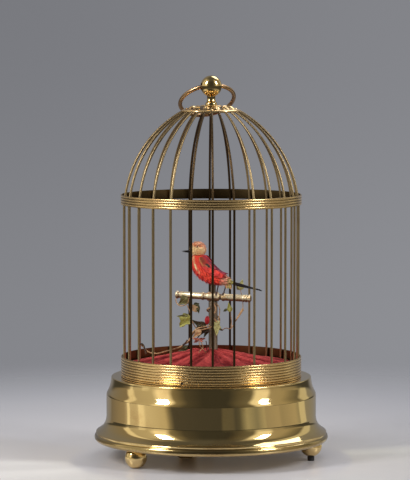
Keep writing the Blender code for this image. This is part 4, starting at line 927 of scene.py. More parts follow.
# %% Finial
BALL_RADIUS, BALL_CENTRE, BALL_HOLE = 7.8 * MM, 272.2 * MM, 2.9 * MM
RING_YAW, RING_TILT, RING_LEAN = math.radians(13.0), math.radians(2.5), math.radians(55.4)
NECK = (
    (3.2, -7.3), (3.05, -8.0), (3.0, -9.0), (3.1, -10.0),
    (3.4, -10.6), (3.2, -11.1), (3.9, -11.8), (4.3, -12.5),
)
SEAT_RADIUS, SEAT_HEIGHT = 4.3 * MM, CENTRE_BOTTOM + 1.2 * MM
PIN_RADIUS, PIN_END = 1.3 * MM, CENTRE_BOTTOM - 5.0 * MM
DRILL_REACH = 0.016
level = math.cos(RING_TILT)
ring_axis = Vector((math.cos(RING_YAW) * level, math.sin(RING_YAW) * level, math.sin(RING_TILT)))
profile = [Vector((0.0, BALL_CENTRE + BALL_RADIUS))]
for degrees in range(86, -70, -4):
    angle = math.radians(degrees)
    profile.append(Vector((BALL_RADIUS * math.cos(angle), BALL_CENTRE + BALL_RADIUS * math.sin(angle))))
profile += smooth([(radius * MM, BALL_CENTRE + height * MM) for radius, height in NECK], 3)
pin = ((SEAT_RADIUS, SEAT_HEIGHT), (PIN_RADIUS, SEAT_HEIGHT), (PIN_RADIUS, PIN_END), (0.0, PIN_END))
profile += [Vector(point) for point in pin]
finial = revolved("ball_finial", profile, 64)
hole = Vector((0.0, 0.0, BALL_CENTRE))
drilled(finial, hole - ring_axis * DRILL_REACH, hole + ring_axis * DRILL_REACH, BALL_HOLE)
dress(finial, LACQUERED, "case", "polished_brass", "finial", sharp=30)

# %% Carry ring
RING_HANG, RING_RADIUS, RING_WIRE = 19.0, 20.0, 1.5
RING_STEPS = 128
back = Vector((0, 0, 1)).cross(ring_axis).normalized()
down = ring_axis.cross(back)
down = -down if down.z > 0 else down
outward = down * math.cos(RING_LEAN) + back * math.sin(RING_LEAN)
ring_centre = hole + outward * RING_HANG * MM
path = []
for step in range(RING_STEPS + 1):
    angle = 2 * math.pi * step / RING_STEPS
    path.append(ring_centre + (ring_axis * math.cos(angle) + outward * math.sin(angle)) * RING_RADIUS * MM)
ring = tube("carry_ring_wire", path, RING_WIRE * MM, 20)
shape = opened(ring)
bmesh.ops.delete(shape, geom=[face for face in shape.faces if len(face.verts) > 4], context="FACES_ONLY")
bmesh.ops.remove_doubles(shape, verts=shape.verts, dist=0.02 * MM)
bmesh.ops.recalc_face_normals(shape, faces=shape.faces)
stored(shape, ring)
dress(ring, RING_BRASS, "ring", "polished_brass", "carry_ring", sharp=60)

# %% Nut and washer under the rosette
TOP = CENTRE_BOTTOM - 0.6 * MM
WASHER = ((1.65, 0.0), (6.9, -0.35), (7.4, -0.55), (7.5, -0.9), (7.3, -1.15), (1.65, -1.2))
NUT = ((1.65, -1.25), (2.6, -1.25), (3.1, -1.5), (3.1, -3.2), (2.7, -3.6), (1.65, -3.6))
washer_profile = [(radius * MM, TOP + height * MM) for radius, height in WASHER]
nut_profile = [(radius * MM, TOP + height * MM) for radius, height in NUT]
washer_piece = revolved("rosette_washer", washer_profile, 96, bore=True)
nut_piece = revolved("rosette_nut", nut_profile, 6, bore=True)
dress(washer_piece, GILT, "case", "polished_brass")
dress(nut_piece, GILT, "case", "polished_brass", "crown_nut", sharp=30)

# %% [markdown]
# ## Velvet
# The floor of the cage is a round of crimson velvet, larger than the floor, with its fullness pushed in
# to the post, so it stands in folds that fan out. Its shape is a height above the deck: a rise to the
# post, the same main folds as the CAD solid, and crumples from a noise that gives the same result at
# every run. Under it lies a wad of padding, and a sheet this soft is shown by its sheen. Its colour is
# lighter on the ridges of the folds and darker in their valleys: painted light and shade.

# %% Velvet
VELVET_RADIUS, VELVET_EDGE, VELVET_CREST, VELVET_FOLDS = 62.4 * MM, 68.4 * MM, 82.4 * MM, 11
VELVET_THICKNESS, VELVET_HOLE = 0.35 * MM, 3.9 * MM
LEFT_LEVEL = 77.2 * MM
POST_X = 1.5 * MM


def ramp(value, low, high):
    """0 below low, 1 above high, and a smooth rise between them."""
    share = max(0.0, min(1.0, (value - low) / (high - low)))
    return share * share * (3 - 2 * share)


def velvet_folds(x, y):
    """The folds at a place, from about -1 in a valley to 1 on a ridge, dying out at the post."""
    radius, angle = math.hypot(x, y), math.atan2(y, x)
    out = min(radius / VELVET_RADIUS, 1.0)
    sway = 0.5 * math.sin(3 * angle + 1.0) + 0.35 * out
    main = math.sin(VELVET_FOLDS * angle + 2.0 * sway)
    wander = 2.2 * noise.noise(Vector((x, y, 0)) * 45)
    fine = 1 - 2 * abs(math.sin(1.5 * VELVET_FOLDS * angle + 5.0 * sway + wander)) ** 0.7
    return (0.6 * main + 0.4 * fine) * math.sin(math.pi * (0.04 + 0.92 * out) ** 0.7)


def velvet_height(x, y):
    """Height of the velvet: a cone to the post, pushed flatter on its left, with folds and crumples."""
    out = min(math.hypot(x, y) / VELVET_RADIUS, 1.0)
    fall = 0.62 + 0.2 * ramp(-x, 0.0, 10 * MM)
    cone = VELVET_EDGE + (VELVET_CREST - VELVET_EDGE) * (1 - out**fall)
    level = LEFT_LEVEL + (VELVET_CREST - LEFT_LEVEL) * ramp(x, -6 * MM, 4 * MM)
    crumple = noise.fractal(Vector((x * 70, y * 70, 0.4)), 0.9, 2.1, 4)
    return min(cone, level) + (1.5 * velvet_folds(x, y) + 0.45 * crumple * (1 - out**6)) * MM


def velvet_grid(name, rings, steps, drop, inner):
    """A round sheet at the velvet's height less a drop, which also knows where its ridges are."""
    vertices, ridges = [], []
    for ring in range(rings + 1):
        radius = inner + (VELVET_RADIUS - inner) * ring / rings
        for step in range(steps):
            angle = 2 * math.pi * step / steps
            x, y = radius * math.cos(angle), radius * math.sin(angle)
            x += POST_X * (1 - radius / VELVET_RADIUS)
            vertices.append((x, y, velvet_height(x, y) - drop))
            ridges.append(velvet_folds(x, y))
    grid = linked(name, vertices, grid_faces(rings + 1, steps, closed=True))
    mark(grid, "ridge", ridges)
    return grid


velvet_finish = Finish(bpy.data.materials.new("crimson_velvet"))
velvet_place = velvet_finish.place()
pile = velvet_finish.noise(velvet_place, 1400.0, 2.0)
tufts = velvet_finish.noise(velvet_place, 330.0, 3.0)
brushed = velvet_finish.noise(velvet_place, 75.0, 4.0)
ridge = velvet_finish.attribute("ridge")
velvet_x, velvet_y, _ = velvet_finish.split(velvet_place)
velvet_reach = (velvet_x * velvet_x + velvet_y * velvet_y) ** 0.5 + 2.0 * MM
bearing = {0: velvet_x / velvet_reach, 1: velvet_y / velvet_reach, 2: velvet_reach * 6.0}
towards_rim = velvet_finish.node("ShaderNodeCombineXYZ", {}, bearing)
streaks = velvet_finish.noise(towards_rim, 8.0, 4.0)
# Painted light and shade: the fold value makes ridges lighter and valleys darker, over the noise of the pile.
lightness = streaks * 0.9 + brushed * 0.5 + tufts * 0.45 + pile * 0.15 + ridge * 0.25
nap_and_fold_light = velvet_finish.between(lightness, 0.68, 1.40)
VELVET = velvet_finish.shader(
    base_color=velvet_finish.blend(nap_and_fold_light, colour(84, 8, 14), colour(192, 76, 72)),
    roughness=0.9,
    specular_ior_level=0.1,
    sheen_weight=0.08,
    sheen_roughness=0.4,
    sheen_tint=colour(255, 140, 140),
    normal=velvet_finish.bump(pile + brushed * 0.6, 0.35, 0.25 * MM),
)
velvet = velvet_grid("velvet_cloth", 72, 420, 0.0, VELVET_HOLE)
area = sum(face.area for face in velvet.data.polygons)
thickened(velvet, VELVET_THICKNESS, -1.0)
dress(velvet, VELVET, "case", "velvet", "velvet_floor", sharp=80)
side = math.sqrt(area * 4 / math.pi)
print(f"velvet: a round {side * 1000:.0f} mm across, {area * 1e4:.0f} square cm")

# %% Padding under the velvet
PADDING_BOTTOM, PADDING_HOLE, PADDING_DROP = 60.4 * MM, 7.2 * MM, 1.1 * MM
padding = velvet_grid("velvet_padding", 18, 96, PADDING_DROP, PADDING_HOLE)
shape = opened(padding)
rims = [edge for edge in shape.edges if edge.is_boundary]
for part in bmesh.ops.extrude_edge_only(shape, edges=rims)["geom"]:
    if isinstance(part, bmesh.types.BMVert):
        part.co.z = PADDING_BOTTOM
bmesh.ops.bridge_loops(shape, edges=[edge for edge in shape.edges if edge.is_boundary])
bmesh.ops.recalc_face_normals(shape, faces=shape.faces)
stored(shape, padding)
wad_finish = Finish(bpy.data.materials.new("cotton_wad"))
wad = wad_finish.noise(wad_finish.place(), 300.0, 4.0)
wad_paint = wad_finish.blend(wad, colour(196, 184, 160), colour(226, 216, 196))
wad_finish.shader(base_color=wad_paint, roughness=0.95)
dress(padding, wad_finish.owner, "case", "velvet")

# %% [markdown]
# ## Post and perch
# The post is a dull tube on a round foot. Its neck goes up through the perch into the bird, and a wire
# inside it works the beak and the tail. The perch is turned and gilded, with a collar over the neck,
# grooves, beads and end knobs, so both are turned profiles.

# %% Post
PERCH_HEIGHT, PERCH_DROP, BIRD_YAW = 118.2 * MM, 1.5, 16.0
POST = (
    (1.2, 130.6), (1.6, 130.6), (1.9, 130.3), (1.9, 114.9), (2.9, 114.6), (3.2, 114.2),
    (3.2, 113.0), (2.95, 112.7), (3.2, 112.4),
    (3.2, 65.5), (3.5, 64.6), (4.3, 63.0), (6.0, 62.1), (6.5, 61.7), (6.5, 60.3), (1.2, 60.3),
)
post = revolved("post_tube", in_mm(POST), 48, bore=True)
post.data.transform(Matrix.Translation((POST_X, 0.0, 0.0)))
dress(post, POST_BRASS, "case", "aged_brass", "perch_post")
BIRD_PLACE = Matrix.Translation((POST_X, 0.0, 0.0)) @ Matrix.Rotation(math.radians(-BIRD_YAW), 4, "Z")
BIRD_TURN = BIRD_PLACE.to_3x3()

# %% Perch
PERCH_RUNS = (
    ((0.0, 28.9), (1.6, 28.8), (2.5, 28.2), (2.9, 27.4), (2.6, 26.5), (1.9, 26.1)),
    ((2.5, 25.9), (2.8, 25.4), (2.8, 24.8), (2.5, 24.3), (2.2, 24.1)),
    ((2.4, 23.9), (2.75, 23.5), (2.75, 23.0), (2.5, 22.5)),
    ((2.5, 22.2), (2.5, 9.0)),
    ((2.6, 8.8), (2.9, 8.3), (2.9, 7.4), (2.6, 6.8), (2.1, 6.5)),
    ((2.1, 4.9), (2.6, 4.5)),
    ((3.1, 4.2), (3.3, 3.9), (3.3, 3.0)),
    ((3.3, 0.0), (3.3, -3.6), (3.1, -4.2)),
    ((2.5, -4.4), (2.5, -6.4)),
    ((2.2, -6.5), (2.2, -6.8), (2.9, -7.2), (2.9, -8.3), (2.6, -8.8)),
    ((2.5, -9.0), (2.5, -25.5)),
    ((1.9, -25.8), (2.3, -26.2), (2.8, -26.8), (2.9, -27.5), (2.5, -28.3), (1.5, -28.8), (0.0, -28.9)),
)
gilding = Finish(bpy.data.materials.new("perch_gilt"))
gilding_place = gilding.place()
perch_x, perch_y, perch_z = gilding.split(gilding_place)
yaw = math.radians(BIRD_YAW)
perch_along = (perch_x - POST_X) * math.cos(yaw) - perch_y * math.sin(yaw)
perch_low = PERCH_HEIGHT - perch_along * math.tan(math.radians(PERCH_DROP)) - perch_z
worn = gilding.noise(gilding_place, 260.0, 4.0)
# Painted shade: below the line of its axis the perch is painted brown, with an uneven edge from the noise.
underside_shade = gilding.between(perch_low + (worn - 0.5) * (1.2 * MM), -0.1 * MM, 1.2 * MM)
groove = gilding.attribute("recess")
gold = gilding.blend(gilding.between(worn, 0.45, 0.75), colour(255, 236, 196), colour(228, 186, 130))
gold = gilding.blend(underside_shade * 0.9, gold, colour(112, 78, 42))
# The grooves are darkened by the recess value: dirt in them and painted shade.
gold = gilding.blend(groove * 0.8, gold, colour(92, 60, 36))
PERCH_GILT = gilding.shader(base_color=gold, metallic=0.55, roughness=worn * 0.1 + 0.22)
GROOVE_FLOOR, GROOVE_EDGE = 2.15 * MM, 2.45 * MM
PERCH_BORE, COLLAR_BORE, COLLAR_RADIUS = 2.2 * MM, 5.0 * MM, 3.3 * MM
perch = revolved("perch_turned", joined(PERCH_RUNS, 4), 48)
depths = [ramp(math.hypot(v.co.x, v.co.y), GROOVE_EDGE, GROOVE_FLOOR) for v in perch.data.vertices]
mark(perch, "recess", depths)
lie = Matrix.Translation((0.0, 0.0, PERCH_HEIGHT)) @ Matrix.Rotation(math.radians(90.0 + PERCH_DROP), 4, "Y")
perch.data.transform(BIRD_PLACE @ lie)
under = Vector((POST_X, 0.0, 0.108))
drilled(perch, under, under + Vector((0.0, 0.0, 0.02)), PERCH_BORE)
drilled(perch, under, Vector((POST_X, 0.0, PERCH_HEIGHT - COLLAR_RADIUS)), COLLAR_BORE)
dress(perch, PERCH_GILT, "case", "gilt", "perch_rod")

# %% [markdown]
# ## Plumage
# The bird is carved, then covered with real small feathers, glued on in rows like roof tiles. So the
# body here is a smooth form, and a Geometry Nodes tree puts one small feather on each of a few hundred
# points. Every point knows four things: which way is out, and how its feather lies, how long it is and
# what colour it has.


# %% Feather tree
def feather_tree():
    tree, start, end = plant("rows_of_feathers", {"Feather": "Object", "Material": "Material"})
    out = node(tree, "GeometryNodeInputNamedAttribute", {"Name": "out"}, data_type="FLOAT_VECTOR")
    lie = node(tree, "GeometryNodeInputNamedAttribute", {"Name": "lie"}, data_type="FLOAT_VECTOR")
    length = node(tree, "GeometryNodeInputNamedAttribute", {"Name": "length"}, data_type="FLOAT")
    stand = node(tree, "FunctionNodeAlignRotationToVector", {"Vector": out.outputs[0]}, axis="Z")
    aim = {"Rotation": stand.outputs[0], "Vector": lie.outputs[0]}
    turn = node(tree, "FunctionNodeAlignRotationToVector", aim, axis="X", pivot_axis="Z")
    source = node(tree, "GeometryNodeObjectInfo", {"Object": start.outputs["Feather"]})
    placing = {"Points": start.outputs["Geometry"], "Instance": source.outputs["Geometry"]}
    turned = {"Rotation": turn.outputs[0], "Scale": length.outputs[0]}
    copies = node(tree, "GeometryNodeInstanceOnPoints", {**placing, **turned})
    return made_real(tree, copies, start, end)


FEATHERED = feather_tree()


def one_feather(name, width, lift, point):
    """A cupped feather one unit long that lies along X, with a UV map for its barbs."""
    columns, rows = 5, 8
    vertices, places = [], []
    for row in range(rows + 1):
        t = row / rows
        half = width * (math.sin(math.pi * (0.06 + 0.94 * t) ** point) ** 0.7) / 2
        for column in range(columns):
            s = 2 * column / (columns - 1) - 1
            ragged = 0.035 * ((row + column) % 2) if row == rows else 0.0
            tip = t - 0.10 * s * s * t - ragged
            vertices.append((tip, s * half, lift * t * t * 0.6 + lift * 0.4 * t - 0.35 * half * s * s))
            places.append((t, (s + 1) / 2))
    made = linked(name, vertices, grid_faces(rows + 1, columns))
    map_points(made, "barbs", places)
    return thickened(made, 0.02, -1.0)


def feathers(name, rows, feather, material):
    """Rows of (point, out, lie, length, colour) in the bird's plane become one mesh of feathers in place."""
    points = linked(name, [BIRD_PLACE @ row[0] for row in rows], [])
    mark(points, "out", [part for row in rows for part in BIRD_TURN @ row[1]])
    mark(points, "lie", [part for row in rows for part in BIRD_TURN @ row[2]])
    mark(points, "length", [row[3] for row in rows])
    mark(points, "shade", [part for row in rows for part in row[4]])
    return grown(points, FEATHERED, {"Feather": feather, "Material": material})


print("tree:", FEATHERED.name)


# %% Feather finish
WARM_LIGHT, DEEP_RED = (1.0, 0.85, 0.7, 1.0), (0.02, 0.003, 0.005, 1.0)


def plumage_finish(name, roughness, gleam=0.25):
    """Feathers: each has its own colour, a pale shaft and fine slanting barbs."""
    finish = Finish(bpy.data.materials.new(name))
    along, across, _ = finish.split(finish.node("ShaderNodeTexCoord", {}, {}, "UV"))
    off_shaft = ((across - 0.5) * (across - 0.5)) ** 0.5
    barbs = finish.node("ShaderNodeMath", {"operation": "SINE"}, {0: (along * 0.5 + off_shaft) * 95.0})
    shaft = 1.0 - finish.between(off_shaft, 0.02, 0.07)
    shade = finish.attribute("shade", "Color")
    # Painted sheen: the gleam share of warm light is mixed into every feather, along the barbs and the pale
    # shaft.
    light = finish.blend(gleam, shade, WARM_LIGHT)
    dark = finish.blend(0.25, shade, DEEP_RED)
    paint = finish.blend(finish.between(along, 0.1, 0.75), dark, shade)
    paint = finish.blend(barbs * 0.15 + 0.15, paint, light)
    paint = finish.blend(shaft * 0.2, paint, light)
    normal = finish.bump(barbs, 0.3, 0.06 * MM)
    return finish.shader(base_color=paint, roughness=roughness, specular_ior_level=0.2, normal=normal)


PLUMAGE = plumage_finish("plumage", 0.75)
BLACK_FEATHER = plumage_finish("black_feather", 0.6, 0.02)

# %% [markdown]
# ## Bird
# The torso follows a curved spine with a radius at each station, like the bulkheads of a boat. Colours
# follow the photograph: a cream and orange head, a red breast with a pale streak, crimson and plum wings
# with a tan line and a dark spot, and a pale rump. The bird is made in its own upright plane, and then
# turned with the perch.

# %% Torso shape
SPINE = (
    (-12.3, 150.8), (-11.6, 148.3), (-10.2, 143.8), (-6.8, 138.4),
    (-1.8, 134.2), (4.0, 131.8), (9.2, 130.2), (14.2, 128.8),
)
RADII = (0.0, 5.4, 7.4, 7.4, 6.1, 4.4, 2.8, 0.0)


def along_stations(values, where):
    """The value at a share of the way along a row of stations, on a smooth curve through them."""
    span = where * (len(values) - 1)
    index = min(int(span), len(values) - 2)
    before, after = values[max(index - 1, 0)], values[min(index + 2, len(values) - 1)]
    return between_points(before, values[index], values[index + 1], after, span - index)


def spine_at(where):
    return along_stations([Vector((x, 0.0, z)) * MM for x, z in SPINE], where)


def torso_point(where, angle, proud=0.0):
    """A point on the torso, its outward direction and the way the feathers lie, in the bird's plane."""
    ahead = (spine_at(min(where + 0.02, 1.0)) - spine_at(max(where - 0.02, 0.0))).normalized()
    back = ahead.cross(Vector((0.0, 1.0, 0.0)))
    side = Vector((0.0, -1.0, 0.0))
    radius = max(along_stations(RADII, where), 0.0) * MM
    upwards = back * (radius + proud) * math.cos(angle)
    sideways = side * (radius * 0.9 + proud) * math.sin(angle)
    out = (back * math.cos(angle) + side * math.sin(angle)).normalized()
    return spine_at(where) + upwards + sideways, out, ahead


print(f"torso: {len(SPINE)} stations")

# %% Colours of the bird
CREAM, ORANGE, BLUSH = colour(255, 218, 156), colour(255, 150, 88), colour(232, 156, 124)
SCARLET, CRIMSON, PLUM = colour(255, 62, 34), colour(216, 26, 44), colour(132, 18, 62)
RUST, TAN, PALE_PINK = colour(150, 58, 24), colour(226, 150, 84), colour(246, 178, 136)
OLIVE, SOOT = colour(172, 162, 84), colour(26, 14, 12)


def mixed(first, second, share):
    """The first colour with a share of the second."""
    share = max(0.0, min(1.0, share))
    return tuple(a + (b - a) * share for a, b in zip(first, second))


def torso_colour(where, angle, chance):
    """Breast, back and rump colours by place: where runs from the neck to the vent, angle from the back."""
    turn = abs(angle)
    paint = mixed(SCARLET, CRIMSON, 1.3 * (turn - 2.2) / 0.9 + 0.5 * chance * ramp(where, 0.2, 0.6))
    paint = mixed(paint, CRIMSON, (0.9 - turn) / 0.3)
    streak = max(0.0, 1 - abs(turn - 2.25 + 0.8 * where) / 0.20) * max(0.0, 1 - abs(where - 0.28) / 0.14)
    paint = mixed(paint, ORANGE, max(0.0, 1 - abs(where - 0.13) / 0.07))
    paint = mixed(paint, CREAM, 1.2 * streak)
    paint = mixed(paint, BLUSH, (where - 0.70) / 0.08)
    paint = mixed(paint, OLIVE, 0.9 * (where - 0.84) / 0.06)
    return mixed(paint, BLACK, 0.10 * chance)


print("colours ready")

# %% Torso
TORSO_RINGS, TORSO_STEPS = 36, 40
NECK_CUT = 148.4 * MM
vertices, paints = [], []
for ring in range(1, TORSO_RINGS):
    for step in range(TORSO_STEPS):
        angle = 2 * math.pi * step / TORSO_STEPS
        where = 0.5 - 0.5 * math.cos(math.pi * ring / TORSO_RINGS)
        vertices.append(torso_point(where, angle, -0.35 * MM)[0])
        paints += torso_colour(ring / TORSO_RINGS, math.remainder(angle, 2 * math.pi), 0.5)
last = (TORSO_RINGS - 2) * TORSO_STEPS
faces = grid_faces(TORSO_RINGS - 1, TORSO_STEPS, closed=True)
faces += [tuple(range(TORSO_STEPS)), tuple(range(last + TORSO_STEPS - 1, last - 1, -1))]
torso = linked("bird_torso", vertices, faces)
mark(torso, "shade", paints)
shape = opened(torso)
bmesh.ops.recalc_face_normals(shape, faces=shape.faces)
whole = list(shape.verts) + list(shape.edges) + list(shape.faces)
bmesh.ops.bisect_plane(shape, geom=whole, plane_co=(0, 0, NECK_CUT), plane_no=(0, 0, 1), clear_outer=True)
bmesh.ops.holes_fill(shape, edges=[edge for edge in shape.edges if edge.is_boundary], sides=0)
stored(shape, torso)
torso.data.transform(BIRD_PLACE)
dress(torso, PLUMAGE, "case", "breast_plumage", "bird_body", sharp=60)

# %% Feathers of the torso
ROW_COUNT, FIRST_ROW, ROW_SPAN = 19, 0.10, 0.83
TOP_FEATHER = 147.3 * MM
chance = random.Random(11)
body_feather = one_feather("body_feather", 0.52, 0.10, 0.8)
rows = []
for row in range(ROW_COUNT):
    where = FIRST_ROW + ROW_SPAN * row / (ROW_COUNT - 1)
    count = max(6, int(max(along_stations(RADII, where), 1.2) * 3.1))
    for place in range(count):
        angle = 2 * math.pi * (place + 0.5 * (row % 2)) / count + chance.uniform(-0.06, 0.06)
        angle = math.remainder(angle, 2 * math.pi)
        point, out, ahead = torso_point(where + chance.uniform(-0.012, 0.012), angle, -0.1 * MM)
        if point.z > TOP_FEATHER:
            continue
        wander = Vector((0.0, chance.uniform(-0.16, 0.16), chance.uniform(-0.12, 0.12)))
        length = (4.6 - 1.3 * abs(where - 0.5)) * chance.uniform(0.85, 1.12) * MM
        paint = torso_colour(where, angle, chance.random())
        rows.append((point, out, (ahead + wander).normalized(), length, paint))
coat = feathers("bird_body_feathers", rows, body_feather, PLUMAGE)
bpy.data.objects.remove(body_feather)
dress(coat, PLUMAGE, "case", "breast_plumage", sharp=60)


# %% Wings
WING_ROWS, WING_COLUMNS = 26, 12
COVERTS = ((0.0, 7, 4.6), (0.10, 9, 5.0), (0.22, 9, 5.6), (0.34, 8, 6.6), (0.48, 7, 7.6), (0.62, 5, 7.6))


def wing_place(down, across, side, proud):
    """A point on a folded wing: down runs from shoulder to tip, across from -1 at the back to 1 below."""
    where = 0.2 + 0.7 * down
    spread = 0.62 * math.sin(math.pi * (0.12 + 0.82 * min(down, 1.0))) ** 0.7
    angle = 0.95 - 0.28 * down + across * spread
    return torso_point(where, side * angle, proud + 0.3 * MM * down)


def wing_colour(down, across, chance):
    """Crimson and scarlet, plum along the back, a rust shoulder behind a tan line, a dark spot and tip."""
    line = 0.92 - 1.15 * down
    paint = mixed(SCARLET, CRIMSON, 0.3 + 0.7 * chance)
    paint = mixed(paint, PLUM, 1.4 * (-across - 0.25) + 0.3 * ramp(down, 0.1, 0.3) * chance)
    shoulder = ramp(0.30 - down, 0.0, 0.14)
    paint = mixed(paint, RUST, shoulder * ramp(across, -0.5, 0.1) * ramp(line - across, -0.05, 0.05))
    paint = mixed(paint, TAN, 1.2 * max(0.0, 1 - abs(across - line) / 0.16) * ramp(0.44 - down, 0.0, 0.1))
    spot = max(0.0, 1 - math.hypot((down - 0.35) / 0.11, (across - 0.12) / 0.42))
    paint = mixed(paint, SOOT, 2.6 * spot)
    paint = mixed(paint, SOOT, 0.8 * (down - 0.74) / 0.22)
    return mixed(paint, BLACK, 0.2 * chance)


def folded_wing(name, node_name, side):
    """One wing, as a thin patch that lies on the torso."""
    vertices, paints = [], []
    for row in range(WING_ROWS + 1):
        for column in range(WING_COLUMNS + 1):
            down, across = row / WING_ROWS, 2 * column / WING_COLUMNS - 1
            vertices.append(wing_place(down, across, side, 0.3 * MM)[0])
            paints += wing_colour(down, across, 0.6)
    faces = grid_faces(WING_ROWS + 1, WING_COLUMNS + 1, flipped=True)
    if side < 0:
        faces = [face[::-1] for face in faces]
    patch = linked(name, vertices, faces)
    mark(patch, "shade", paints)
    thickened(patch, 0.4 * MM, 1.0)
    patch.data.transform(BIRD_PLACE)
    return dress(patch, PLUMAGE, "case", "wing_plumage", node_name, sharp=60)


def wing_feathers(name, side, feather):
    """Rows of coverts from the shoulder down, with every feather aimed along the wing."""
    chance = random.Random(5)
    rows = []
    for row, (start, count, length) in enumerate(COVERTS):
        for place in range(count):
            across = -0.92 + 1.84 * place / (count - 1)
            down = start + 0.04 * abs(across) + chance.uniform(-0.01, 0.01)
            point, out, _ = wing_place(down, across, side, (0.8 - 0.06 * row) * MM)
            target = wing_place(min(down + 0.4, 1.0), across * 0.6, side, 0.7 * MM)[0]
            reach = length * chance.uniform(0.93, 1.07) * MM
            paint = wing_colour(down + 0.1, across, chance.random())
            rows.append((point, out, (target - point).normalized(), reach, paint))
    return dress(feathers(name, rows, feather, PLUMAGE), PLUMAGE, "case", "wing_plumage", sharp=60)


wing_feather = one_feather("wing_feather", 0.32, 0.02, 0.7)
for side, label in ((1, "left"), (-1, "right")):
    folded_wing(f"wing_{label}_patch", f"wing_{label}", side)
    wing_feathers(f"wing_{label}_feathers", side, wing_feather)
bpy.data.objects.remove(wing_feather)

# %% Tuft under the tail
chance = random.Random(31)
down_feather = one_feather("down_feather", 0.42, 0.06, 0.8)
rows = []
for place in range(9):
    start = Vector((chance.uniform(9.6, 12.8), chance.uniform(-1.3, 1.3), chance.uniform(127.6, 128.6))) * MM
    out = Vector((-0.4, math.copysign(0.8, start.y), 0.0)).normalized()
    lie = Vector((0.30 + 0.05 * place, chance.uniform(-0.1, 0.1), -1.0)).normalized()
    length = chance.uniform(3.6, 5.0) * MM
    rows.append((start, out, lie, length, mixed(OLIVE, BLUSH, 0.7 * (place % 3 == 0))))
tuft = feathers("undertail_tuft", rows, down_feather, PLUMAGE)
bpy.data.objects.remove(down_feather)
dress(tuft, PLUMAGE, "case", "breast_plumage", sharp=60)

# %% [markdown]
# ## Head, beak and tail
# The head turns on the neck, the lower beak opens and the tail lifts, so each is on its own body, and
# its feathers move with it. The head is an egg with feathers that lie back from the beak. The eyes are
# brown glass beads, and both halves of the beak are horn, drawn out to a point.

# %% Head
HEAD_CENTRE, HEAD_RADII = Vector((-12.0, 0.0, 153.0)), Vector((5.7, 4.9, 5.3))
NECK_LEVEL = 148.75 * MM
HEAD_STEP = 10


def head_point(turn, lift, proud=0.0):
    """A point on the head and its outward direction: turn from the beak, lift from level, in degrees."""
    t, e = math.radians(turn), math.radians(lift)
    unit = Vector((-math.cos(t) * math.cos(e), math.sin(t) * math.cos(e), math.sin(e)))
    point = Vector([c + (r + proud) * u for c, r, u in zip(HEAD_CENTRE, HEAD_RADII, unit)])
    out = Vector([u / r for u, r in zip(unit, HEAD_RADII)]).normalized()
    return point * MM, out


def head_colour(turn, lift, chance):
    """Cream cheeks, tan below the eye, a blush crown with rust spots, and a warm nape."""
    paint = mixed(CREAM, TAN, 0.7 * max(0.0, 1 - math.hypot((abs(turn) - 100) / 40, (lift + 10) / 30)))
    paint = mixed(paint, PALE_PINK, ramp(lift, 15, 45))
    paint = mixed(paint, ORANGE, 0.8 * (chance > 0.6) * ramp(lift, 20, 40))
    for spot_turn, spot_lift in ((98, 42), (70, 34), (124, 56)):
        near = max(0.0, 1 - math.hypot((abs(turn) - spot_turn) / 22, (lift - spot_lift) / 15))
        paint = mixed(paint, RUST, 1.1 * near)
    return mixed(paint, BLUSH, 0.7 * (abs(turn) - 125) / 40)


vertices, paints = [], []
LIFTS, TURNS = range(-80, 90, HEAD_STEP), range(0, 360, HEAD_STEP)
for lift in LIFTS:
    for turn in TURNS:
        point, _ = head_point(turn, lift, -0.25)
        point.z = max(point.z, NECK_LEVEL)
        vertices.append(point)
        paints += head_colour(math.remainder(turn, 360), lift, 0.3)
faces = grid_faces(len(LIFTS), len(TURNS), closed=True, flipped=True)
faces.append(tuple(range(len(vertices) - len(TURNS), len(vertices))))
faces.append(tuple(range(len(TURNS) - 1, -1, -1)))
skull = linked("bird_skull", vertices, faces)
mark(skull, "shade", paints)
shape = opened(skull)
bmesh.ops.remove_doubles(shape, verts=shape.verts, dist=0.01 * MM)
bmesh.ops.recalc_face_normals(shape, faces=shape.faces)
stored(shape, skull)
skull.data.transform(BIRD_PLACE)
dress(skull, PLUMAGE, "head", "head_plumage", "bird_head", sharp=60)

# %% Feathers of the head
chance = random.Random(23)
head_feather = one_feather("head_feather", 0.5, 0.12, 0.85)
rows = []
for lift in range(-42, 89, 9):
    count = max(3, int(26 * math.cos(math.radians(lift))))
    for place in range(count):
        turn = 360 * (place + 0.5 * (lift % 2)) / count + chance.uniform(-4, 4)
        turn = math.remainder(turn, 360)
        if abs(turn) < 16 and -34 < lift < 10:
            continue
        point, out = head_point(turn, lift + chance.uniform(-2, 2), -0.1)
        wander = Vector((0.0, chance.uniform(-0.15, 0.15), chance.uniform(-0.1, 0.1)))
        away = Vector((1.0, 0.0, -0.45)) + wander
        lie = (away - out * away.dot(out)).normalized()
        length = (2.0 + 1.0 * min(abs(turn) / 120, 1.0)) * chance.uniform(0.85, 1.15) * MM
        rows.append((point, out, lie, length, head_colour(turn, lift, chance.random())))
cap = feathers("bird_head_feathers", rows, head_feather, PLUMAGE)
bpy.data.objects.remove(head_feather)
dress(cap, PLUMAGE, "head", "head_plumage", sharp=60)

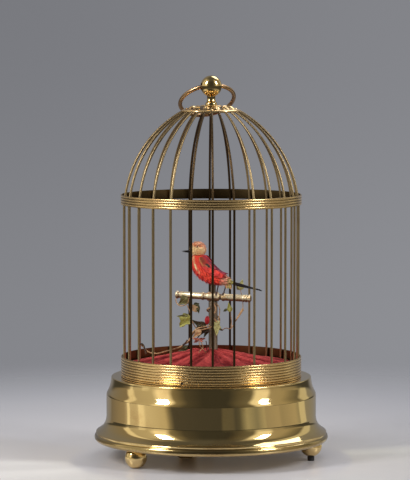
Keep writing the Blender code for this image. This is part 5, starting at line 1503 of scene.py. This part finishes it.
# %% Eyes
glass = Finish(bpy.data.materials.new("eye_glass"))
cloud = glass.noise(glass.place(), 900.0, 2.0)
glass_paint = glass.blend(cloud, colour(52, 22, 8), colour(120, 62, 22))
glass.shader(base_color=glass_paint, roughness=0.06, coat_weight=1.0)
EYE_RADIUS, EYE_STEPS = 0.85 * MM, 14
for side in (-1, 1):
    half_round = []
    for step in range(EYE_STEPS + 1):
        angle = math.pi * step / EYE_STEPS
        half_round.append((EYE_RADIUS * math.sin(angle), EYE_RADIUS * math.cos(angle)))
    bead = revolved("eye_left" if side < 0 else "eye_right", half_round, 20)
    point, out = head_point(-side * 103, 19, -0.3)
    stand = out.to_track_quat("Z", "Y").to_matrix().to_4x4()
    bead.data.transform(BIRD_PLACE @ Matrix.Translation(point) @ stand)
    dress(bead, glass.owner, "head", "black_horn")

# %% Beak
horn = Finish(bpy.data.materials.new("black_horn"))
streaks = horn.noise(horn.place(), 700.0, 3.0)
horn_paint = horn.blend(streaks, colour(14, 12, 14), colour(34, 28, 26))
HORN = horn.shader(
    base_color=horn_paint,
    roughness=streaks * 0.2 + 0.45,
    specular_ior_level=0.3,
    normal=horn.bump(streaks, 0.2, 0.05 * MM),
)
BEAK_STEPS = 16


def beak_half(name, root, reach, radius):
    """One half of the beak: nearly as thick as its root for half its length, then drawn to a point."""
    root, reach = Vector(root), Vector(reach)
    path, radii = [], []
    for step in range(BEAK_STEPS + 1):
        path.append(root * MM + reach * (MM * step / BEAK_STEPS))
        radii.append(radius * (1 - (step / BEAK_STEPS) ** 2.2) + 0.08 * MM)
    half = tube(name, path, radii, 16)
    half.data.transform(BIRD_PLACE)
    return half


upper_beak = beak_half("upper_beak", (-16.6, 0.0, 151.5), (-7.6, 0.0, -0.4), 0.48 * MM)
dress(upper_beak, HORN, "head", "black_horn", sharp=60)
lower_beak = beak_half("lower_beak_horn", (-17.5, 0.0, 150.4), (-5.9, 0.0, 0.25), 0.32 * MM)
dress(lower_beak, HORN, "beak", "black_horn", "lower_beak", sharp=60)

# %% Tail
TAIL_ROOT = Vector((14.7, 0.0, 128.75))
TAIL_SLOPE = math.radians(13.3)
TAIL_FEATHERS = (
    (-0.8, 23.4, 0.25), (0.8, 23.0, -0.05), (-0.3, 21.6, 0.5), (0.3, 20.6, -0.35), (0.0, 18.0, 0.1),
)
tail_feather = one_feather("tail_feather", 0.11, 0.0, 0.45)
tail_lie = Vector((math.cos(TAIL_SLOPE), 0.0, -math.sin(TAIL_SLOPE)))
tail_out = Vector((math.sin(TAIL_SLOPE), -0.75, math.cos(TAIL_SLOPE))).normalized()
rows = []
for side, length, height in TAIL_FEATHERS:
    point = (TAIL_ROOT + Vector((0.2, side * 0.6, height))) * MM
    lie = (tail_lie + Vector((0.0, side * 0.03, 0.0))).normalized()
    rows.append((point, tail_out, lie, length * MM, colour(14, 9, 12)))
tail = feathers("tail_feathers", rows, tail_feather, BLACK_FEATHER)
bpy.data.objects.remove(tail_feather)
dress(tail, BLACK_FEATHER, "tail", "black_feather", "bird_tail", sharp=60)

# %% Legs and toes
wire_finish = Finish(bpy.data.materials.new("leg_wire"))
rust = wire_finish.noise(wire_finish.place(), 500.0, 3.0)
wire_paint = wire_finish.blend(rust, colour(38, 24, 26), colour(86, 56, 48))
LEG = wire_finish.shader(base_color=wire_paint, roughness=rust * 0.3 + 0.35)
HIP_HEIGHT, LEG_RADIUS = 130.2, 0.45
TOE_RADII = (0.34, 0.36, 0.33, 0.3, 0.24, 0.1)
TOES = ((-0.5, -1), (0.0, -1), (0.5, -1), (0.0, 1))


def perch_top(along, radius):
    """Height of the perch's upper side in millimetres, where it has this radius."""
    return PERCH_HEIGHT / MM + radius - along * math.tan(math.radians(PERCH_DROP))


def leg_route(along, radius, side):
    """Hip, knee and ankle of a leg that stands on the perch."""
    hip = Vector((along + 0.8, side * 1.9, HIP_HEIGHT))
    knee = Vector((along + 1.1, side * 1.3, (HIP_HEIGHT + perch_top(along, radius)) / 2 + 0.8))
    ankle = Vector((along, side * 0.57, perch_top(along, radius) + 0.75))
    return smooth([point * MM for point in (hip, knee, ankle)], 6)


def toe_route(along, radius, side, spread, forward):
    """A toe that curls down round the perch, to the front at -1 and to the back at 1."""
    away = radius + 0.42
    route = []
    for step in range(len(TOE_RADII)):
        curl = math.radians(90 - forward * 2 - 15 * step)
        across = side * 0.3 + forward * away * math.cos(curl) * 0.98
        height = perch_top(along, 0.0) + away * math.sin(curl)
        route.append(Vector((along + spread * step * 0.3, across, height)) * MM)
    return route


for along, radius, side, label in ((3.0, 3.3, -1, "near"), (8.0, 2.9, 1, "far")):
    leg = tube(f"leg_{label}", leg_route(along, radius, side), LEG_RADIUS * MM, 12)
    leg.data.transform(BIRD_PLACE)
    dress(leg, LEG, "case", "black_horn")
    for number, (spread, forward) in enumerate(TOES):
        route = toe_route(along, radius, side, spread, forward)
        claw = tube(f"toe_{label}_{number}", route, [size * MM for size in TOE_RADII], 10)
        claw.data.transform(BIRD_PLACE)
        dress(claw, LEG, "case", "black_horn")

# %% [markdown]
# ## Vine
# The vine is florist's work: stems of wire wound with tan paper tape, cloth leaves with a moulded rib,
# a bud of red cloth and a few fallen petals. Stems are tubes along smooth curves, with a tape edge that
# winds round them in the bump. A leaf is a grid, bent along its rib, with an outline given by a few lobes.

# %% Stems, each with its thickness at the start and the end and the places it passes
STEMS = {
    "main": (0.5, 0.65, (
        (-51.9, 14, 81.2), (-50.0, 14, 79.4), (-48.2, 13, 77.3), (-45.2, 12, 75.5), (-39.2, 8, 75.3),
        (-34.0, 4, 77.2), (-28.0, 0, 79.2), (-22.8, -4, 81.5), (-19.9, -6, 83.6), (-17.0, -8, 85.7),
        (-14.7, -9, 89.5), (-13.3, -9, 92.0), (-9.6, -8.5, 94.2), (-4.5, -8, 95.2), (-0.9, -6.5, 96.2),
        (5.2, -3, 99.2), (5.6, 2.8, 102.4), (0.6, 4.6, 105.4), (-2.9, 1.0, 108.0), (-1.4, -3.4, 110.2),
    )),
    "second": (0.35, 0.45, (
        (-14.0, -10, 90.3), (-13.3, -10, 93.3), (-9.6, -9.5, 96.1), (-5.3, -8.5, 96.8), (-0.9, -7, 97.7),
    )),
    "right_loop": (0.5, 0.55, (
        (2.0, -4, 113.9), (3.5, -4.5, 108.8), (1.3, -5, 104.5), (4.2, -5, 100.0), (5.0, -5, 97.1),
    )),
    "right_thin": (0.3, 0.3, ((4.2, -2, 113.0), (6.1, -2, 110.0), (6.1, -2, 105.6), (5.0, -3, 101.3))),
    "leaf_loop": (0.35, 0.35, (
        (-25.6, -12.5, 118.4), (-25.6, -12.5, 116.2), (-24.2, -12.5, 113.7), (-22.0, -12.5, 112.6),
        (-19.1, -12, 113.3), (-16.9, -12, 115.1), (-16.5, -12, 118.4),
    )),
    "left_stalk": (0.3, 0.4, (
        (-17.6, -12, 113.3), (-15.4, -12, 108.1), (-14.4, -11, 102.9), (-12.5, -10, 98.4), (-9.6, -8.5, 94.2),
    )),
    "low_stalk_a": (0.35, 0.3, ((-8.9, -12, 86.9), (-8.2, -12, 83.2), (-5.3, -11, 80.2), (-3.8, -10, 77.8))),
    "low_stalk_b": (0.35, 0.3, ((-7.4, -11, 86.0), (-6.0, -11, 82.4), (-8.2, -12, 79.5), (-9.6, -12, 77.7))),
    "stick": (0.3, 0.35, (
        (5.0, -5, 97.1), (7.9, -5, 94.5), (10.8, -6, 95.7), (14.5, -7, 95.5), (17.4, -8, 100.7),
    )),
    "stick_end": (0.45, 0.95, ((17.4, -8, 100.7), (20.3, -8.5, 105.2), (23.2, -9, 110.0))),
    "high_twig": (0.3, 0.2, (
        (23.2, -9, 110.0), (23.2, -5, 112.5), (22.9, -1, 117.3), (21.8, 1, 121.5), (21.1, 2, 125.1),
    )),
    "small_stalk": (0.25, 0.25, ((14.5, -7, 95.5), (14.8, -8, 101.8), (13.7, -8.5, 108.5))),
}
DARK_STEMS = {
    "third": (0.35, 0.5, ((-11.1, -8, 86.4), (-8.9, -8, 90.1), (-5.3, -7.5, 92.6), (-0.9, -6.5, 93.6))),
    "fourth": (0.4, 0.5, (
        (-16.0, -7.5, 88.3), (-13.6, -8, 91.0), (-12.2, -8, 94.0), (-8.0, -7.5, 95.8), (-3.0, -7, 96.6),
    )),
    "left_arch": (0.55, 0.5, (
        (-53.0, 14, 81.2), (-51.1, 14, 81.7), (-49.6, 13, 80.2), (-48.9, 12, 77.4), (-48.1, 11, 74.5),
    )),
    "low_stalk_c": (0.35, 0.35, ((-3.8, -9, 86.5), (-3.1, -9, 82.9), (-3.1, -9, 78.4))),
    "joint": (0.7, 0.5, ((-20.6, -6.5, 83.2), (-18.6, -7.5, 85.2), (-17.4, -8, 87.2))),
}


def paper_tape(name, light, dark):
    """Paper tape wound round a wire: grimy, with a darker edge at every turn."""
    finish = Finish(bpy.data.materials.new(name))
    along = finish.attribute("along")
    wound = finish.node("ShaderNodeMath", {"operation": "FRACT"}, {0: along * 620.0})
    darkening = finish.noise(finish.place(), 260.0, 4.0)
    paint = finish.blend(finish.between(darkening, 0.3, 0.7), light, dark)
    paint = finish.blend((1.0 - finish.between(wound, 0.0, 0.25)) * 0.7, paint, dark)
    return finish.shader(base_color=paint, roughness=0.75, normal=finish.bump(wound + darkening, 0.5, 0.12 * MM))


TAPE = paper_tape("tan_tape", colour(208, 164, 116), colour(116, 82, 54))
DARK_TAPE = paper_tape("brown_tape", colour(96, 66, 46), colour(40, 25, 20))
for group, material in ((STEMS, TAPE), (DARK_STEMS, DARK_TAPE)):
    for label, (first, last, route) in group.items():
        path = smooth([Vector(p) * MM for p in route], 6)
        ends = len(path) - 1
        radii = [(first + (last - first) * step / ends) * MM for step in range(len(path))]
        stem = tube(f"vine_{label}_stem", path, radii, 10)
        dress(stem, material, "case", "wired_leaves", sharp=60)

# %% Leaves
PALE, LIGHT_GREEN, YELLOW_GREEN = colour(196, 188, 122), colour(150, 146, 84), colour(176, 170, 74)
DARK_GREEN, OLIVE_DARK, OLIVE_GREEN = colour(34, 42, 24), colour(104, 94, 48), colour(110, 104, 56)
BROWN, DUSK = colour(58, 36, 34), colour(36, 22, 22)
PEACH, LEAF_TAN = colour(224, 172, 124), colour(190, 148, 110)
LEAF_ROWS, LEAF_HALF = 16, 6


def leaf(name, base, tip, width, lobes, paint, edge, curl):
    """A cloth leaf from base to tip. It faces the front, folds along its rib and curls at the tip."""
    base, tip = Vector(base) * MM, Vector(tip) * MM
    along = tip - base
    length = along.length
    across = along.cross(Vector((0.0, 1.0, 0.25))).normalized()
    out = across.cross(along).normalized()
    out = -out if out.y > 0 else out
    vertices, shades, places = [], [], []
    for row in range(LEAF_ROWS + 1):
        t = row / LEAF_ROWS
        outline = 1 + 0.22 * math.sin(lobes * math.pi * t) - 0.05 * (row % 2)
        reach = width * MM * (math.sin(math.pi * t**0.72) ** 0.8) * outline
        for column in range(-LEAF_HALF, LEAF_HALF + 1):
            s = column / LEAF_HALF
            fold = 0.22 * reach * abs(s)
            wave = 0.05 * length * math.sin(7 * t + 3 * s)
            lift = fold + wave - curl * length * t * t
            vertices.append(base + along * (t - 0.06 * s * s) + across * reach * s + out * lift)
            shades += mixed(paint, edge, (abs(s) - 0.78) / 0.2)
            places.append((t, s))
    blade = linked(name, vertices, grid_faces(LEAF_ROWS + 1, 2 * LEAF_HALF + 1))
    mark(blade, "shade", shades)
    map_points(blade, "veins", places)
    return thickened(blade, 0.18 * MM, 0.0)


cloth = Finish(bpy.data.materials.new("leaf_cloth"))
leaf_along, leaf_across, _ = cloth.split(cloth.node("ShaderNodeTexCoord", {}, {}, "UV"))
off_rib = (leaf_across * leaf_across) ** 0.5
veins = cloth.node("ShaderNodeMath", {"operation": "SINE"}, {0: (leaf_along - off_rib * 0.35) * 44.0})
veins = cloth.between(veins, 0.82, 0.98) * cloth.between(off_rib, 0.0, 0.15)
rib = 1.0 - cloth.between(off_rib, 0.03, 0.1)
weave = cloth.noise(cloth.place(), 900.0, 2.0)
patches = cloth.noise(cloth.place(), 220.0, 3.0)
leaf_shade = cloth.attribute("shade", "Color")
leaf_paint = cloth.blend(patches * 0.5, leaf_shade, colour(70, 62, 30))
leaf_paint = cloth.blend(veins * 0.35 + rib * 0.4, leaf_paint, colour(204, 196, 130))
leaf_normal = cloth.bump(weave * 0.4 - veins - rib * 1.5, 0.5, 0.12 * MM)
LEAF = cloth.shader(base_color=leaf_paint, roughness=0.55, normal=leaf_normal)
LEAVES = (
    ((-17.6, -12, 118.8), (-23.9, -12.6, 113.2), 3.4, 2, OLIVE_DARK, OLIVE_GREEN, 0.10),
    ((-12.6, -11, 113.4), (-8.4, -11.3, 114.2), 1.3, 1, DARK_GREEN, DARK_GREEN, 0.05),
    ((-9.9, -11, 113.6), (-9.0, -11.6, 106.8), 1.2, 1, DARK_GREEN, DARK_GREEN, 0.05),
    ((-10.2, -10.8, 108.6), (-14.2, -11, 113.6), 2.0, 1, LEAF_TAN, PEACH, 0.05),
    ((-17.0, -11, 105.9), (-22.6, -12.6, 96.8), 4.3, 5, YELLOW_GREEN, LIGHT_GREEN, 0.12),
    ((-17.0, -11.6, 105.3), (-25.2, -12.9, 105.0), 1.2, 1, OLIVE_GREEN, OLIVE_DARK, 0.05),
    ((-4.2, -8, 97.2), (-14.9, -10, 101.8), 2.4, 2, BROWN, DUSK, 0.08),
    ((-8.0, -9, 98.6), (-11.8, -10, 94.2), 1.3, 2, DUSK, DUSK, 0.08),
    ((-8.0, -9, 94.8), (-13.5, -10.6, 88.6), 2.2, 2, PEACH, LEAF_TAN, 0.08),
    ((-4.6, -6, 96.0), (-11.0, -6.6, 89.6), 2.0, 2, DUSK, BROWN, 0.08),
    ((-2.4, -5.6, 95.4), (-5.4, -6, 88.4), 1.5, 2, DUSK, DUSK, 0.08),
    ((-17.5, -9, 82.3), (-23.8, -10, 78.8), 1.8, 2, DARK_GREEN, OLIVE_DARK, 0.08),
    ((4.4, -5, 100.6), (3.9, -7.6, 90.2), 2.6, 5, PALE, LIGHT_GREEN, 0.12),
    ((6.0, -6, 95.3), (8.8, -6.6, 93.8), 0.7, 1, BROWN, BROWN, 0.0),
    ((21.1, 2, 123.2), (23.0, 3, 130.8), 2.2, 2, PALE, YELLOW_GREEN, 0.05),
    ((21.1, 2, 123.6), (18.3, 3, 127.0), 1.7, 2, LEAF_TAN, LIGHT_GREEN, 0.05),
    ((13.9, -8.5, 108.2), (12.6, -9, 114.8), 1.8, 2, YELLOW_GREEN, LIGHT_GREEN, 0.08),
    ((11.4, -9, 109.9), (8.8, -9.5, 108.3), 0.9, 1, DARK_GREEN, DARK_GREEN, 0.0),
)
blades = [leaf(f"vine_leaf_{number + 1}", *row) for number, row in enumerate(LEAVES)]
dress(blades[0], LEAF, "case", "wired_leaves", "vine", sharp=70)
for blade in blades[1:]:
    dress(blade, LEAF, "case", "wired_leaves", sharp=70)

# %% Bud and fallen petals
petal_finish = Finish(bpy.data.materials.new("red_cloth_petals"))
petal_wear = petal_finish.noise(petal_finish.place(), 500.0, 4.0)
petal_paint = petal_finish.blend(petal_wear, colour(152, 12, 26), colour(200, 46, 54))
petal_normal = petal_finish.bump(petal_wear, 0.5, 0.2 * MM)
PETAL = petal_finish.shader(base_color=petal_paint, roughness=0.7, normal=petal_normal)
PETAL_ROWS, PETAL_COLUMNS = 8, 6


def bud(name, centre, radius, height, petals, opening, tilt):
    """Cupped petals round a stalk's end, which stand further apart with more opening."""
    petal = []
    for row in range(PETAL_ROWS + 1):
        t = row / PETAL_ROWS
        for column in range(PETAL_COLUMNS + 1):
            s = 2 * column / PETAL_COLUMNS - 1
            reach = radius * (0.25 + opening * t**1.2 + (1 - opening) * 0.75 * math.sin(math.pi * t))
            turn = s * 1.1 * math.sin(math.pi * (0.12 + 0.8 * t)) / 1.1
            petal.append((reach * math.cos(turn), reach * math.sin(turn), height * (t - 0.12 * s * s * t)))
    source = linked(name + "_petal", petal, grid_faces(PETAL_ROWS + 1, PETAL_COLUMNS + 1, flipped=True))
    thickened(source, 0.16 * MM, 0.0)
    flower = around(name, source, petals, 10.0, PETAL)
    place = Matrix.Translation(Vector(centre) * MM) @ Matrix.Rotation(math.radians(tilt), 4, "Y")
    flower.data.transform(place @ Matrix.Rotation(math.radians(25.0), 4, "X"))
    return dress(flower, PETAL, "case", "wired_leaves", sharp=70)


bud("vine_bud", (-3.2, -7.0, 98.3), 1.8 * MM, 7.4 * MM, 5, 0.15, 4.0)
PETAL_PINK, PETAL_RED = colour(226, 128, 108), colour(150, 34, 50)
PETALS_LOW = (
    ((-8.9, -12, 87.6), (-13.5, -13, 88.9), 1.1, 1, PETAL_PINK, PETAL_PINK, 0.05),
    ((-9.2, -12, 88.0), (-3.9, -12.5, 88.9), 0.9, 1, PETAL_RED, PETAL_RED, 0.05),
    ((-9.4, -12, 87.4), (-12.8, -12.6, 85.8), 0.8, 1, PETAL_RED, PETAL_RED, 0.05),
    ((-8.6, -12, 87.6), (-5.6, -12.8, 86.4), 0.7, 1, PETAL_PINK, PETAL_RED, 0.05),
)
for number, row in enumerate(PETALS_LOW):
    dress(leaf(f"vine_low_petal_{number + 1}", *row), LEAF, "case", "wired_leaves", sharp=70)

# %% [markdown]
# ## Underside and works
# The base is closed below by a plate, with a hole for the key and a slot for the start and stop knob.
# Inside are the plates, wheels, fly, bellows and whistle. Nothing opens to show them, so their CAD
# solids stay and get materials that suit: bright wheels, blued steel, thin leather and box wood.

# %% Materials for the works
def plain(name, kind, light, dark, scale, roughness, metallic, depth):
    """A two-tone finish whose roughness and bump follow the same noise, drawn out for a grain."""
    finish = Finish(bpy.data.materials.new(name))
    place = finish.place()
    if kind == "grain":
        place = finish.node("ShaderNodeMapping", {}, {"Vector": place, "Scale": (0.12, 1.0, 1.0)})
    noisy = finish.noise(place, scale, 4.0)
    return finish.shader(
        base_color=finish.blend(finish.between(noisy, 0.3, 0.7), dark, light),
        metallic=metallic,
        roughness=noisy * 0.25 + roughness,
        normal=finish.bump(noisy, 0.3, depth),
    )


WORKS = {
    "plate_brass": ("grain", colour(212, 176, 106), colour(168, 130, 70), 900.0, 0.18, 1.0, 0.01 * MM),
    "blued_steel": ("cloud", colour(120, 124, 136), colour(70, 74, 88), 400.0, 0.16, 1.0, 0.01 * MM),
    "key_brass": ("cloud", colour(150, 122, 84), colour(96, 76, 52), 260.0, 0.25, 1.0, 0.02 * MM),
    "bellows_leather": ("cloud", colour(178, 142, 104), colour(128, 94, 66), 900.0, 0.5, 0.0, 0.06 * MM),
    "box_wood": ("grain", colour(196, 158, 104), colour(150, 112, 66), 700.0, 0.4, 0.0, 0.03 * MM),
    "black_rubber": ("cloud", colour(40, 38, 38), colour(20, 19, 19), 800.0, 0.5, 0.0, 0.04 * MM),
}
FINISHES = {name: plain(name, *values) for name, values in WORKS.items()}
OWN_NODES = (
    (FINISHES["plate_brass"], ("movement_frame", "spring_barrel", "centre_wheel", "whistle_tube")),
    (FINISHES["blued_steel"], ("fly", "pull_wire", "whistle_piston")),
    (FINISHES["key_brass"], ("winding_key",)),
    (FINISHES["bellows_leather"], ("bellows",)),
    (FINISHES["box_wood"], ("bellows_lid",)),
    (FINISHES["black_rubber"], ("foot_tip",)),
    (LACQUERED, ("bottom_plate", "stop_lever")),
)
for material, names in OWN_NODES:
    for name in names:
        mesh = NODES[name].data
        mesh.materials.clear()
        mesh.materials.append(material)
print("CAD nodes kept:", sum(len(names) for _, names in OWN_NODES))
